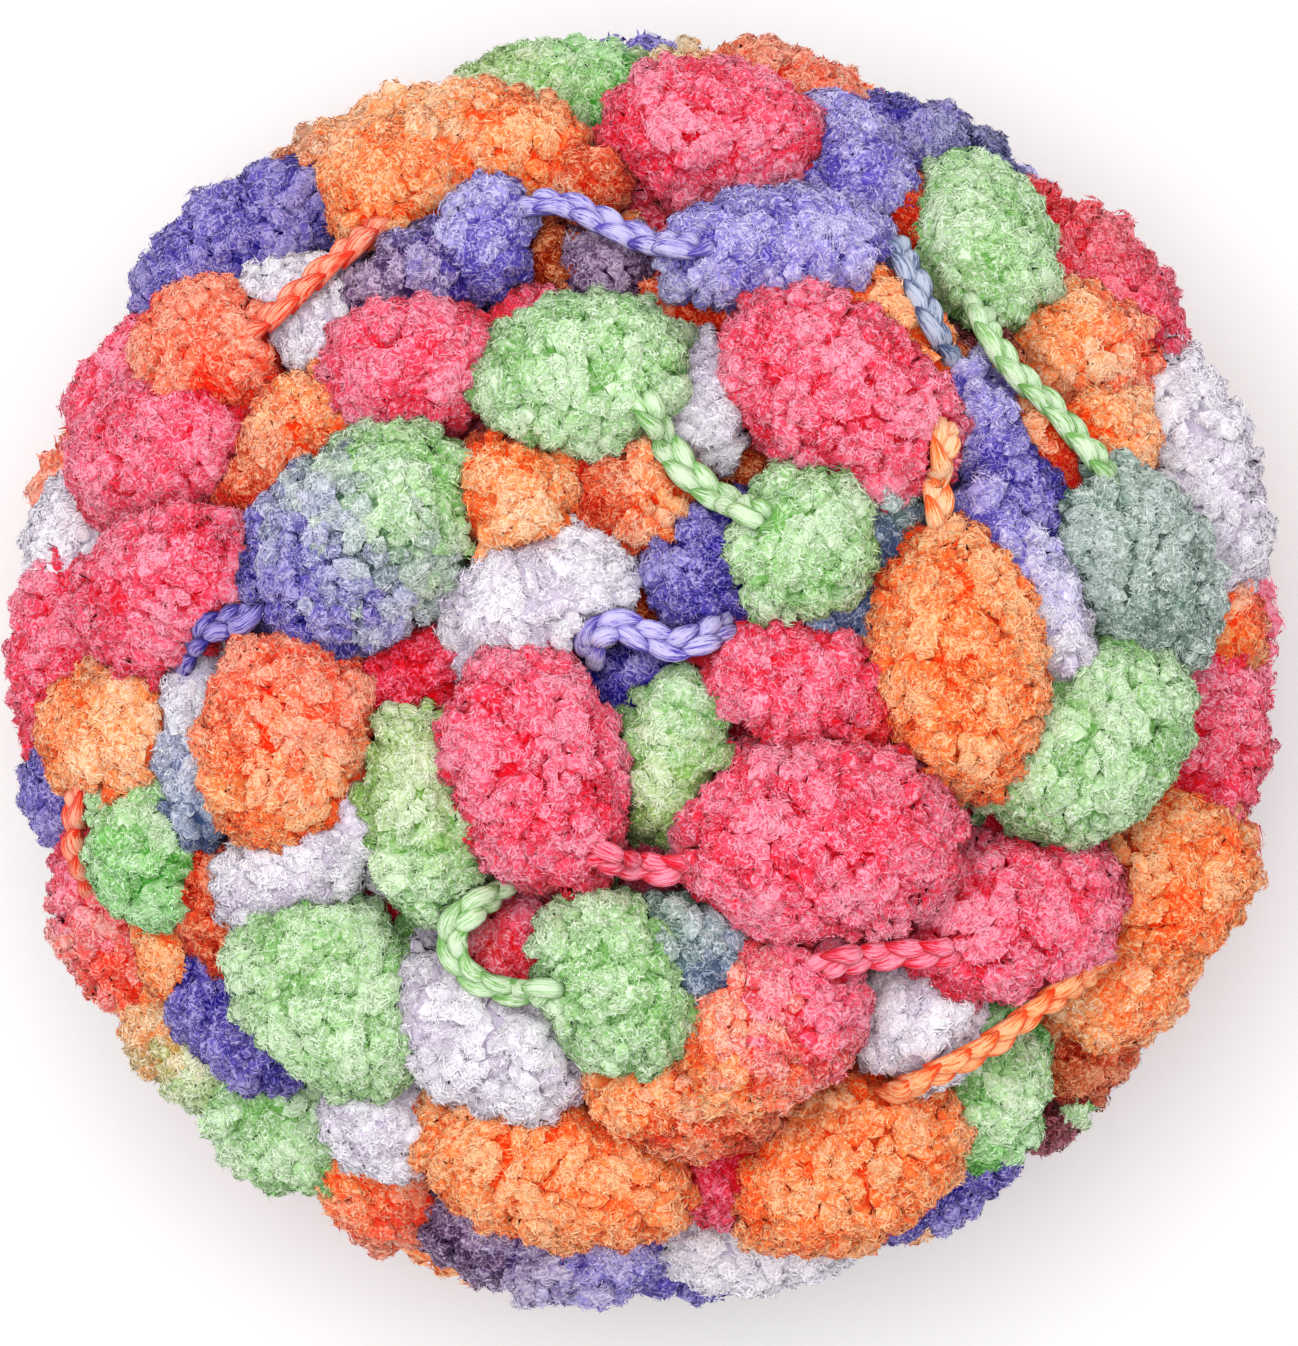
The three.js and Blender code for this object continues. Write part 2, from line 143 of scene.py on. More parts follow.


# The pom poms on the top, by the part of the pile that they are in. The rust and maroon rows are
# low pom poms of orange and red yarn, darkened as painted shade.
TOP_POMPOMS: dict[str, list[tuple]] = {
    "outer_turn_far": [
        (-13, 77.5, 2, 29, 15, -1, "straw", "leaf"),
        (3, 79, -3, 17, 11, -4, "straw", "peach"),
        (18, 77.5, -12, 25, 13, -4, "ember", "coral"),
        (39.5, 69, -30, 28, 14, -4, "violet", "navy"),
        (60, 52.5, -46, 33, 16, -1, "scarlet", "cherry"),
        (74, 27, -72, 36, 18, 1, "white", "white"),
        (78, 6.5, 88, 15, 13, -3, "orange", "coral"),
        (-77, 3, 82, 28, 17, 0, "rose", "rose"),
        (-75.5, 18, 70, 20, 16, -3, "white", "white"),
        (-69, 38, 62, 24, 15, 0, "rose", "rose"),
        (-54.5, 57.5, 36, 33, 17, -2, "violet", "violet"),
        (-43.5, 66.5, 32, 17, 13, -5, "rust", "peach"),
    ],
    "outer_turn_near": [
        (75.5, -9, 88, 28, 18, -1, "cherry", "rose"),
        (70.5, -28.5, 52, 25, 21, 3, "orange", "orange"),
        (64.5, -42, 34, 22, 17, 1, "peach", "orange"),
        (59, -51, 42, 21, 15, -5, "rust", "ember"),
        (56, -57, 44, 13, 10, -9, "straw", "leaf"),
        (51, -59, 44, 14, 12, -9, "maroon", "maroon"),
        (39.5, -68, 33, 27, 14, -4, "violet", "violet"),
        (16, -76.5, 6, 31, 15, -4, "white", "white"),
        (-14, -77, -11, 35, 16, -2, "mauve", "lilac"),
        (-36.5, -69, -52, 20, 15, -3, "orange", "coral"),
        (-49, -60.5, -45, 23, 18, -1, "mint", "mint"),
        (-62, -49.5, -52, 22, 15, -1, "peach", "straw"),
        (-71, -34.5, -66, 29, 16, -1, "rose", "coral"),
        (-78, -17, -78, 16, 11, -6, "violet", "violet"),
    ],
    "upper_left": [
        (-33, 64.5, 62, 21, 19, 5, "orange", "peach"),
        (-20.5, 70, -14, 30, 17, 1, "peach", "orange"),
        (-8.5, 65.5, -12, 13, 10, -4, "orange", "ember"),
        (-27.5, 53, 12, 24, 14, -1, "mauve", "violet"),
        (-20.5, 58, 72, 16, 11, 1, "lilac", "lilac"),
        (-13, 53.5, 80, 15, 12, -9, "rust", "rust"),
        (-5, 52.5, 0, 14, 11, -8, "mauve", "mauve"),
        (-44, 46.5, -42, 22, 15, -4, "white", "white"),
        (-58, 42, -22, 23, 19, 5, "coral", "coral"),
        (-64.5, 29, 24, 31, 20, 3, "rose", "rose"),
        (-46.5, 28.5, 54, 27, 15, -3, "ember", "orange"),
        (-30.5, 40, 4, 23, 18, 2, "rose", "rose"),
        (-16.5, 44.5, 24, 13, 9, -6, "rose", "rose"),
    ],
    "upper_right": [
        (9.5, 71.5, -4, 30, 20, 6, "rose", "rose"),
        (27, 68, -58, 25, 15, -1, "lilac", "lilac"),
        (18, 55.5, 2, 31, 15.5, 3, "lilac", "lilac"),
        (6, 46.5, -15, 21, 12, -9, "ember", "ember"),
        (-8, 38.5, 8, 27, 20, 5, "mint", "mint"),
        (9, 36, 76, 17, 12, -3, "white", "white"),
        (12.5, 27.5, -20, 15, 10, -10, "rust", "rust"),
        (25.5, 36, -32, 33, 22.5, 6, "rose", "rose"),
        (32.5, 44.5, -42, 23, 13, -2, "orange", "orange"),
        (45, 57.5, -76, 29, 18.5, 5, "mint", "mint"),
        (35.3, 61, 86, 15, 9, -7, "ember", "orange"),
        (59, 43, -28, 22, 17, 0, "peach", "coral"),
        (62.5, 31.5, -22, 15, 11, -2, "orange", "peach"),
        (53, 29.5, -62, 17, 11, -4, "orange", "ember"),
        (44.5, 41.5, -50, 11, 9, -9, "maroon", "rust"),
        (46.5, 29, -64, 27, 12, -3, "lilac", "violet"),
    ],
    "middle_right": [
        (50.5, 10.5, -60, 31, 12, -1, "lilac", "white"),
        (64.5, 14, -60, 33, 20, 2, "sage", "sage"),
        (41.5, 1.5, -82, 35, 21.5, 6, "orange", "orange"),
        (59, -9, 38, 31, 23, 4, "mint", "mint"),
        (31, 19.5, 80, 14, 11, -3, "slate", "sage"),
        (25.5, 8, 8, 17, 11, -4, "slate", "slate"),
        (20.5, 16.5, 62, 19, 17.5, 6, "mint", "mint"),
        (9, 13.5, 62, 21, 14, -2, "violet", "violet"),
        (-1.5, -2.5, -50, 16, 13, -8, "violet", "violet"),
        (0.5, 11, 90, 13, 8, -9, "rust", "rust"),
        (19.5, -1, -12, 25, 16.5, 1, "rose", "rose"),
        (28, -4.5, -42, 15, 13, -3, "scarlet", "scarlet"),
        (3.5, -11, 76, 22, 13.5, -1, "straw", "mint"),
    ],
    "middle_left": [
        (-14, 9.5, 22, 27, 17.5, 0, "white", "white"),
        (-17.5, 23, -30, 18, 17, 0, "orange", "peach"),
        (-2, 23.5, 0, 19, 15, -3, "ember", "orange"),
        (-37, 17, 40, 35, 25, 6, "violet", "mint"),
        (-63, 10.5, 30, 28, 20, 5, "rose", "rose"),
        (-71, -8.5, 12, 23, 18, 4, "orange", "peach"),
        (-59.5, -9, 88, 30, 11, -5, "slate", "white"),
        (-47, -9, 82, 29, 21.5, 6, "orange", "coral"),
        (-30.5, -1.5, 40, 18, 15, -4, "cherry", "cherry"),
        (-14, -13, -74, 33, 21.5, 7, "rose", "rose"),
        (-29, -19, -78, 29, 16.5, 1, "straw", "mint"),
        (-44.5, -24, 38, 32, 14, -2, "white", "white"),
    ],
    "lower_left": [
        (-67, -24, -68, 20, 15, 2, "mint", "leaf"),
        (-56, -31.5, -65, 22, 12, -6, "ember", "ember"),
        (-63, -38, -75, 14, 11, -4, "orange", "orange"),
        (-54.5, -46, -48, 23, 15, -3, "violet", "violet"),
        (-41.5, -43, -52, 29, 22, 4, "mint", "mint"),
        (-22, -48, -28, 31, 18, -1, "white", "white"),
        (-35, -60.5, -40, 17, 14, -1, "white", "white"),
        (-16, -38, 22, 19, 15, -6, "scarlet", "rose"),
        (-12, -66, -14, 37, 20, 4, "orange", "orange"),
    ],
    "lower_right": [
        (-3.5, -41, -62, 25, 18, 5, "mint", "mint"),
        (6.5, -37, -45, 18, 12, 0, "sage", "slate"),
        (22.5, -22.5, 4, 36, 26, 7, "rose", "rose"),
        (16, -46.5, 40, 27, 21, 5, "orange", "rose"),
        (5, -57, -12, 24, 14, 1, "orange", "ember"),
        (11, -66, 34, 18, 13, -7, "cherry", "cherry"),
        (26.5, -65.5, 22, 33, 22, 5, "orange", "orange"),
        (49, -33, 14, 31, 20, 0, "rose", "rose"),
        (36, -47, -30, 19, 17, -4, "white", "white"),
        (46, -58, 62, 21, 15, -3, "leaf", "mint"),
    ],
}


class LowerTurn(NamedTuple):
    """A turn of pom poms below the top, which runs round the ball.

    radius is from the ball's axis to their middles and height is that of the middles, count
    is how many there are, long and wide are their size, and start is the first one's angle.
    """

    height: float
    radius: float
    count: int
    long: float
    wide: float
    start: float


# How far the ball's weight lowers the pom poms that it rests on.
PRESSED = 2.5
LOWER_TURNS = [
    LowerTurn(46, 77, 16, 29, 20, 4),
    LowerTurn(28, 68.5, 14, 29, 20, 17),
    LowerTurn(15 - PRESSED, 47, 10, 28, 20, 0),
    LowerTurn(10 - PRESSED, 24, 5, 27, 20, 30),
    LowerTurn(10 - PRESSED, 0, 1, 27, 20, 270),
]
LOWER_DYES = ("rose", "orange", "white", "mint", "violet", "coral", "lilac", "peach")
# How many dyes further the next pom pom of a turn is, and the first one of the next turn.
NEXT_DYE = 3
NEXT_TURN_DYE = 5
# How far the pom poms of a turn lean, by turns up and down, in degrees.
TURN_LEAN = 7.0
# How many pieces the lower turns are made in; the last one takes all that are left.
LOWER_PIECES = 4

# The plaited cords that cross the top, by the points that they pass as seen from above.
# The two ends of each are hidden under pom poms.
TOP_CORDS: dict[str, tuple[str, list[tuple[float, float]]]] = {
    "upper_lilac": (
        "lilac",
        [(-20, 59.5), (-14, 61.8), (-9, 61), (-4, 58.4), (1, 56.3), (6, 55.6), (11, 56)],
    ),
    "upper_mint": (
        "mint",
        [(-5, 38), (0, 34.6), (2.5, 30), (6, 25.5), (10.5, 22), (14.5, 20.2), (19, 18)],
    ),
    "right_mint": (
        "mint",
        [(44, 50), (45.6, 44.6), (49, 39.6), (53.2, 35.6), (57.2, 31.2), (60.5, 27.4), (64, 22)],
    ),
    "right_peach": ("peach", [(39, 35), (39.2, 30), (38.5, 25), (38.7, 20), (40, 14)]),
    "right_slate": ("slate", [(32, 59), (34.6, 54), (36.6, 49), (38.6, 44.5), (42, 39)]),
    "left_coral": (
        "coral",
        [(-34, 61), (-38.4, 56.6), (-42.4, 53.4), (-46.2, 50), (-50, 46.6), (-55, 44)],
    ),
    "middle_lilac": (
        "lilac",
        [(13, 7), (8, 4.4), (4, 3.2), (0.5, 4.4), (-3.2, 5.8), (-6.4, 4.6), (-7.4, 0)],
    ),
    "lower_mint": (
        "mint",
        [
            *((-17, -28), (-22.4, -31), (-25.2, -34.6), (-24, -38.8)),
            *((-20.5, -41.4), (-16, -42.2), (-12.6, -42), (-7, -42)),
        ],
    ),
    "left_violet": ("violet", [(-47.5, 9.5), (-52, 7.2), (-55, 6), (-58, 5), (-62.5, -0.5)]),
    "edge_coral": ("coral", [(-74, -12), (-76, -17), (-76.6, -21), (-76.6, -25), (-75, -31)]),
    "middle_rose": ("rose", [(-11, -21), (-5.6, -24), (-1, -25.4), (3.6, -26), (10, -25)]),
    "lower_rose": (
        "rose",
        [(17, -40), (24, -38.4), (29, -37.6), (34, -37.2), (39, -37.2), (46, -36)],
    ),
    "lower_orange": (
        "orange",
        [
            *((62, -39), (56.5, -42.2), (52, -45.2), (47.6, -48.6)),
            *((43, -51.4), (38, -53.8), (31, -57.5)),
        ],
    ),
}


def unit(vectors: Array) -> Array:
    """The vectors, each made one long."""
    lengths = np.linalg.norm(vectors, axis=-1, keepdims=True)
    return vectors / np.maximum(lengths, 1e-9)


def smooth_step(value: Array, low: float, high: float) -> Array:
    """0 below low, 1 above high, and an even S between them."""
    share = np.clip((value - low) / (high - low), 0.0, 1.0)
    return share * share * (3.0 - 2.0 * share)


def even_directions(count: int) -> Array:
    """Directions that lie evenly over a sphere.

    Args:
        count: how many there are.

    Returns:
        One unit vector a row.
    """
    index = np.arange(count)
    height = 1.0 - (2.0 * index + 1.0) / count
    radius = np.sqrt(1.0 - height**2)
    turn = index * GOLDEN_TURN
    return np.stack((radius * np.cos(turn), radius * np.sin(turn), height), axis=1)


@dataclass(frozen=True)
class BallForm:
    """The even surface that the ball's outer pom poms lie on."""

    radius: float = 87.0
    height: float = 104.0
    middle_height: float = 50.0
    shoulder_power: float = 2.6
    slope_step: float = 2.0
    steepest: float = 1.3
    rim: float = 0.985

    @property
    def middle(self) -> Array:
        """The point that the ball is wound round, on its own axis."""
        return np.array((0.0, 0.0, self.middle_height))

    def surface_height(self, x: float, y: float, inset: float) -> float:
        """Height of the even surface, taken in by inset, above a point of the floor.

        Args:
            x: where the point is.
            y: where the point is.
            inset: how far the surface is taken in.

        Returns:
            The height.
        """
        out = min(math.hypot(x, y) / (self.radius - inset), self.rim)
        rise = self.height - inset - self.middle_height
        return self.middle_height + rise * math.sqrt(1.0 - out**self.shoulder_power)


@dataclass(frozen=True)
class Pompom:
    """One pom pom: an egg with its own axes, dyed from one end to the other."""

    centre: Array
    axes: Array
    half: Array
    dye: Dye
    end_dye: Dye
    outward: Array

    def local(self, points: Array) -> Array:
        """Points of the ball in the pom pom's own axes."""
        return (points - self.centre) @ self.axes.T

    def depth_of(self, points: Array) -> Array:
        """The share of the pom pom's radius at which points lie: under 1 is inside."""
        return np.linalg.norm(self.local(points) / self.half, axis=-1)

    def top_over(self, x: float, y: float, start: float) -> float:
        """Height at which the pom pom ends above a point of the floor.

        Args:
            x: where the point is.
            y: where the point is.
            start: a height inside the ball.

        Returns:
            The height, or start where the pom pom isn't over the point.
        """
        foot = self.local(np.array((x, y, start))) / self.half
        way = (self.axes @ UP) / self.half
        a = float(way @ way)
        b = float(foot @ way)
        root = b * b - a * (float(foot @ foot) - 1.0)
        return start if root < 0 else start + max(0.0, (-b + math.sqrt(root)) / a)


def egg(centre: Array, along: Array, outward: Array, row: tuple[float, float, Dye, Dye]) -> Pompom:
    """A pom pom that lies along a line.

    Args:
        centre: its middle.
        along: the line.
        outward: the way out of the ball there.
        row: its length, its width and its two dyes.

    Returns:
        The pom pom.
    """
    long, wide, dye, end_dye = row
    x = unit(along)
    y = unit(np.cross(outward, x))
    axes = np.stack((x, y, np.cross(x, y)))
    half = np.array((long, wide, wide)) / 2.0
    return Pompom(centre, axes, half, dye, end_dye, outward)


@dataclass
class Winding:
    """Where every pom pom of the ball lies, and how far the top ones spread."""

    form: BallForm = field(default_factory=BallForm)
    lengthened: float = 1.06
    widened: float = 1.1
    low_lift: float = -6.0
    low_widened: float = 1.25
    inner_depth: float = 10.0
    parts: dict[str, list[Pompom]] = field(default_factory=dict)

    def __post_init__(self) -> None:
        """Lays the pom poms of the top and of the turns below it."""
        for name, rows in TOP_POMPOMS.items():
            self.parts[name] = [self.top_pompom(TopRow(*row)) for row in rows]
        for index, turn in enumerate(LOWER_TURNS):
            name = f"lower_turn_{min(index + 1, LOWER_PIECES)}"
            self.parts.setdefault(name, []).extend(self.lower_pompoms(turn, index))

    @property
    def pompoms(self) -> list[Pompom]:
        """All pom poms of the ball."""
        return [pompom for part in self.parts.values() for pompom in part]

    def top_pompom(self, row: TopRow) -> Pompom:
        """The pom pom of a table row, laid along the slope of the even surface.

        Args:
            row: the pom pom's row.

        Returns:
            The pom pom.
        """
        angle = math.radians(row.turn)
        dx, dy = math.cos(angle), math.sin(angle)
        wide = row.wide * (self.low_widened if row.lift <= self.low_lift else self.widened)
        inset, step = wide / 2.0, self.form.slope_step
        ahead = self.form.surface_height(row.x + dx * step, row.y + dy * step, inset)
        behind = self.form.surface_height(row.x - dx * step, row.y - dy * step, inset)
        steepest = self.form.steepest
        slope = min(max((ahead - behind) / (2.0 * step), -steepest), steepest)
        height = self.form.surface_height(row.x, row.y, inset) + row.lift
        centre = np.array((row.x, row.y, height))
        outward = unit(centre - self.form.middle)
        look = (row.long * self.lengthened, wide, dye_named(row.dye), dye_named(row.end_dye))
        return egg(centre, np.array((dx, dy, slope)), outward, look)

    def lower_pompoms(self, turn: LowerTurn, index: int) -> Iterator[Pompom]:
        """The pom poms of a turn below the top.

        Args:
            turn: the turn's sizes.
            index: its place among the turns, which sets its dyes.

        Yields:
            Each pom pom in its place.
        """
        for i in range(turn.count):
            angle = math.radians(turn.start) + 2.0 * math.pi * i / turn.count
            out = np.array((math.cos(angle), math.sin(angle), 0.0))
            centre = out * turn.radius + UP * turn.height
            lean = math.radians(TURN_LEAN) * (1 if i % 2 else -1) * (turn.radius > 0)
            along = np.array((-out[1], out[0], math.tan(lean)))
            dye = dye_named(LOWER_DYES[(i * NEXT_DYE + index * NEXT_TURN_DYE) % len(LOWER_DYES)])
            outward = unit(centre - self.form.middle)
            yield egg(centre, along, outward, (turn.long, turn.wide, dye, dye))

    @property
    def inner_turns(self) -> Pompom:
        """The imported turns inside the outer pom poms, taken as one low round body.

        Returns:
            The body, as a pom pom of its own.
        """
        form = self.form
        wide = form.radius - self.inner_depth
        half = np.array((wide, wide, form.height - form.middle_height - self.inner_depth))
        return Pompom(form.middle, np.eye(3), half, Dye.CHERRY, Dye.CHERRY, UP)

    def nearest_dyes(self, points: Array) -> Array:
        """The dye of the pom pom that each point lies next to.

        Args:
            points: places in the ball.

        Returns:
            One linear colour a point.
        """
        depths = np.stack([pompom.depth_of(points) for pompom in self.pompoms], axis=1)
        dyes = np.stack([pompom.dye.linear for pompom in self.pompoms])
        return dyes[np.argmin(depths, axis=1)]

    def pile_height(self, x: float, y: float) -> float:
        """Height of the highest pom pom over a point of the floor."""
        start = self.form.middle_height
        return max(pompom.top_over(x, y, start) for pompom in self.pompoms)


@dataclass
class MeshHeap:
    """Triangles gathered for one piece, with what the finish reads at each point.

    tint holds the dye's red, green and blue and, as a fourth number, a share of painted light:
    low for painted shade at a tuft's root and in crevices, high for a painted highlight at its
    tip. grain holds a place in the fibres, which run along its third axis.
    """

    points: list[Array] = field(default_factory=list)
    faces: list[Array] = field(default_factory=list)
    maps: list[Array] = field(default_factory=list)
    tints: list[Array] = field(default_factory=list)
    grains: list[Array] = field(default_factory=list)
    normals: list[Array] = field(default_factory=list)
    count: int = 0
    cells: int = 0

    def add(
        self,
        points: Array,
        faces: Array,
        corners: Array,
        tint: Array,
        grain: Array,
        normals: Array,
    ) -> None:
        """Adds the same small form in many places, or a single one.

        Args:
            points: (forms, points, 3) places.
            faces: (faces, 3) corners, counted within one form.
            corners: (faces, 3, 2) places of the corners in the form's cell of the map.
            tint: (forms, points, 4) dye and share of painted light.
            grain: (forms, points, 3) place in the fibres.
            normals: (forms, points, 3) the way that the pile faces there.
        """
        forms, size = points.shape[:2]
        first = self.count + np.arange(forms)[:, None, None] * size
        cell = self.cells + np.arange(forms)
        self.points.append(points.reshape(-1, 3))
        self.faces.append((faces[None] + first).reshape(-1, 3))
        self.maps.append(self.in_cells(corners, cell))
        self.tints.append(tint.reshape(-1, 4))
        self.grains.append(grain.reshape(-1, 3))
        self.normals.append(normals.reshape(-1, 3))
        self.count += forms * size
        self.cells += forms

    @staticmethod
    def in_cells(corners: Array, cell: Array) -> Array:
        """Corner places with their cell's number put in front.

        Args:
            corners: (faces, 3, 2) places of one form's corners in its cell.
            cell: the number of each form's cell.

        Returns:
            One row a corner: the cell's number and the place in it.
        """
        spread = np.broadcast_to(corners[None], (len(cell), *corners.shape))
        number = np.broadcast_to(cell[:, None, None, None], (*spread.shape[:3], 1))
        return np.concatenate((number, spread), axis=3).reshape(-1, 3)

    @property
    def triangles(self) -> int:
        """How many triangles the piece has."""
        return sum(len(faces) for faces in self.faces)

    def map_places(self) -> Array:
        """Where each corner lies on the piece's map, one square cell for each form.

        Returns:
            One place a corner, from 0 to 1 across the map.
        """
        corners = np.concatenate(self.maps)
        side = math.ceil(math.sqrt(self.cells))
        column = corners[:, 0] % side
        row = corners[:, 0] // side
        return np.stack((column + corners[:, 1], row + corners[:, 2]), axis=1) / side

    def to_object(self, name: str, material: bpy.types.Material) -> bpy.types.Object:
        """Makes the piece.

        Args:
            name: the piece's name.
            material: its finish.

        Returns:
            The object, linked to the scene.
        """
        points = np.concatenate(self.points) * METRES
        faces = np.concatenate(self.faces).astype(np.int32)
        mesh = bpy.data.meshes.new(name)
        mesh.vertices.add(len(points))
        mesh.vertices.foreach_set("co", points.ravel())
        mesh.loops.add(faces.size)
        mesh.loops.foreach_set("vertex_index", faces.ravel())
        mesh.polygons.add(len(faces))
        mesh.polygons.foreach_set("loop_start", np.arange(0, faces.size, 3, dtype=np.int32))
        mesh.polygons.foreach_set("use_smooth", np.ones(len(faces), dtype=bool))
        mesh.update(calc_edges=True)
        layer = mesh.uv_layers.new(name="OFBake")
        layer.uv.foreach_set("vector", self.map_places().ravel())
        tint = mesh.attributes.new("tint", "FLOAT_COLOR", "POINT")
        tint.data.foreach_set("color", np.concatenate(self.tints).ravel())
        grain = mesh.attributes.new("grain", "FLOAT_VECTOR", "POINT")
        grain.data.foreach_set("vector", np.concatenate(self.grains).ravel())
        mesh.normals_split_custom_set_from_vertices(unit(np.concatenate(self.normals)))
        mesh.materials.append(material)
        made = bpy.data.objects.new(name, mesh)
        bpy.context.collection.objects.link(made)
        return made


@dataclass(frozen=True)
class RingShape:
    """A form before it is bent: rings of points that end in a tip.

    stations holds, for each ring, its place from root to tip and how wide it is.
    """

    sides: int
    stations: tuple[tuple[float, float], ...]
    map_edge: float = 0.05
    map_wide: float = 0.9
    map_high: float = 0.8
    map_tip: float = 0.86

    @property
    def size(self) -> int:
        """How many points the form has."""
        return self.sides * len(self.stations) + 1

    def faces(self) -> Array:
        """The triangles of the form, by its points.

        Returns:
            Three point numbers a triangle.
        """
        made = []
        for ring in range(len(self.stations) - 1):
            for side in range(self.sides):
                here = ring * self.sides + side
                beside = ring * self.sides + (side + 1) % self.sides
                made.append((here, beside, beside + self.sides))
                made.append((here, beside + self.sides, here + self.sides))
        last = (len(self.stations) - 1) * self.sides
        for side in range(self.sides):
            made.append((last + side, last + (side + 1) % self.sides, self.size - 1))
        return np.array(made)

    def corners(self) -> Array:
        """Where the triangles' corners lie in the form's cell of the map.

        Returns:
            (faces, 3, 2) places in the cell.
        """
        made = []
        height = [self.map_edge + self.map_high * station for station, _ in self.stations]
        step = self.map_wide / self.sides
        wide = [self.map_edge + step * side for side in range(self.sides + 1)]
        for ring in range(len(self.stations) - 1):
            for side in range(self.sides):
                low = (wide[side], height[ring])
                low_next = (wide[side + 1], height[ring])
                high = (wide[side], height[ring + 1])
                high_next = (wide[side + 1], height[ring + 1])
                made.append((low, low_next, high_next))
                made.append((low, high_next, high))
        for side in range(self.sides):
            tip = ((wide[side] + wide[side + 1]) / 2.0, self.map_tip)
            made.append(((wide[side], height[-1]), (wide[side + 1], height[-1]), tip))
        return np.array(made)


class FibreShape:
    """A single fibre: one triangle from its tip to the two sides of its foot."""

    @staticmethod
    def faces() -> Array:
        """The triangle, by its points."""
        return np.array(((0, 1, 2),))

    @staticmethod
    def corners() -> Array:
        """Where the triangle lies in its cell of the map."""
        return np.array((((0.5, 0.95), (0.1, 0.05), (0.9, 0.05)),))


FIBRE = FibreShape()


@dataclass(frozen=True)
class PileStyle:
    """How thickly tufts stand on a pom pom, how they clump and how their fibres lie."""

    spacing: float = 2.25
    jitter: float = 0.22
    fewest: int = 12
    spine_share: float = 0.9
    tuft_radius: float = 1.6
    tuft_radii: tuple[float, float] = (0.75, 1.25)
    tuft_length: float = 3.8
    shortest_share: float = 0.3
    tuft_wander: float = 0.42
    tuft_bend: float = 0.5
    clump_width: float = 6.0
    clump_jitter: float = 0.35
    clump_edge: float = 0.6
    clump_fall: float = 1.7
    clump_lowest: float = 1.2
    clump_rise: float = 0.42
    clump_spread: float = 0.4
    clump_pull: float = 0.12
    swell: float = 0.05
    swell_waves: int = 5
    swell_tightness: float = 2.2
    swell_height: float = 1.6
    broad: float = 1.3
    narrow: float = 0.78
    unevenness: tuple[float, float] = (0.85, 1.15)
    cap: tuple[float, float] = (0.35, 0.55)
    fold_wander: float = 0.35
    facing_gain: float = 2.2
    facing_drop: float = 0.2
    # ring_share, cap_share, rise_share and rise_limit set the painted light of a tuft: painted
    # shade low on it and in the hollows of its clump, a painted highlight on its cap and where the
    # clump rises.
    ring_share: float = 1.15
    cap_share: float = 1.3
    rise_share: float = 0.18
    rise_limit: float = 2.0
    fibres: int = 34
    fibre_width: float = 0.38
    fibre_widths: tuple[float, float] = (0.35, 0.65)
    fibre_rise: tuple[float, float] = (0.1, 1.9)
    fibre_turn: tuple[float, float] = (0.6, 1.4)
    fibre_feet: tuple[float, float] = (0.85, 1.05)
    fibre_ends: tuple[float, float] = (0.85, 1.1)
    fibre_reach: float = 1.12
    stray_fibres: int = 6
    stray_reach: float = 1.28
    head_drop: float = 0.5
    # fibre_tip, fibre_foot, fibre_gain and fibre_shares set the painted light of the fibres, with a
    # random spread: a painted highlight towards each fibre's end and where it faces up, painted
    # shade where it hangs down.
    fibre_tip: float = 0.2
    fibre_foot: float = 0.44
    fibre_gain: float = 0.72
    fibre_shares: tuple[float, float] = (0.75, 1.3)
    fibre_dyes: tuple[float, float] = (0.93, 1.07)
    blend_wander: float = 0.14
    blend_paleness: float = 3.0
    tuft_dyes: tuple[float, float] = (0.9, 1.08)
    streak: float = 0.3
    softness: float = 0.55
    least_lift: float = 0.3
    ruffle: float = 0.12
    shape: RingShape = RingShape(6, ((0.4, 0.85), (0.88, 1.0)))


NEAR_PILE = PileStyle()
FAR_PILE = PileStyle(
    spacing=3.6,
    tuft_radius=2.35,
    fibres=14,
    fibre_width=0.6,
    stray_fibres=3,
)
INNER_PILE = PileStyle(
    spacing=3.7,
    tuft_radius=2.5,
    fibres=12,
    fibre_width=0.6,
    stray_fibres=3,
)


@dataclass
class Tufts:
    """The tufts of one pom pom, one a row, with the way that each one's head is folded."""

    root: Array
    bend: Array
    tip: Array
    radius: Array
    dye: Array
    rise: Array
    fold: Array
    # The share of painted light that the painted shade of crevices leaves each tuft.
    open: Array

    def keep(self, mask: Array) -> "Tufts":
        """Only the tufts that the mask picks."""
        return Tufts(*(getattr(self, name)[mask] for name in self.__dataclass_fields__))

    def along(self, share: Array | float) -> Array:
        """The point at a share of each tuft's way from root to tip."""
        rest = 1.0 - share
        return self.root * rest**2 + self.bend * 2.0 * share * rest + self.tip * share**2

    @property
    def way(self) -> Array:
        """The way that each tuft points."""
        return unit(self.tip - self.root)


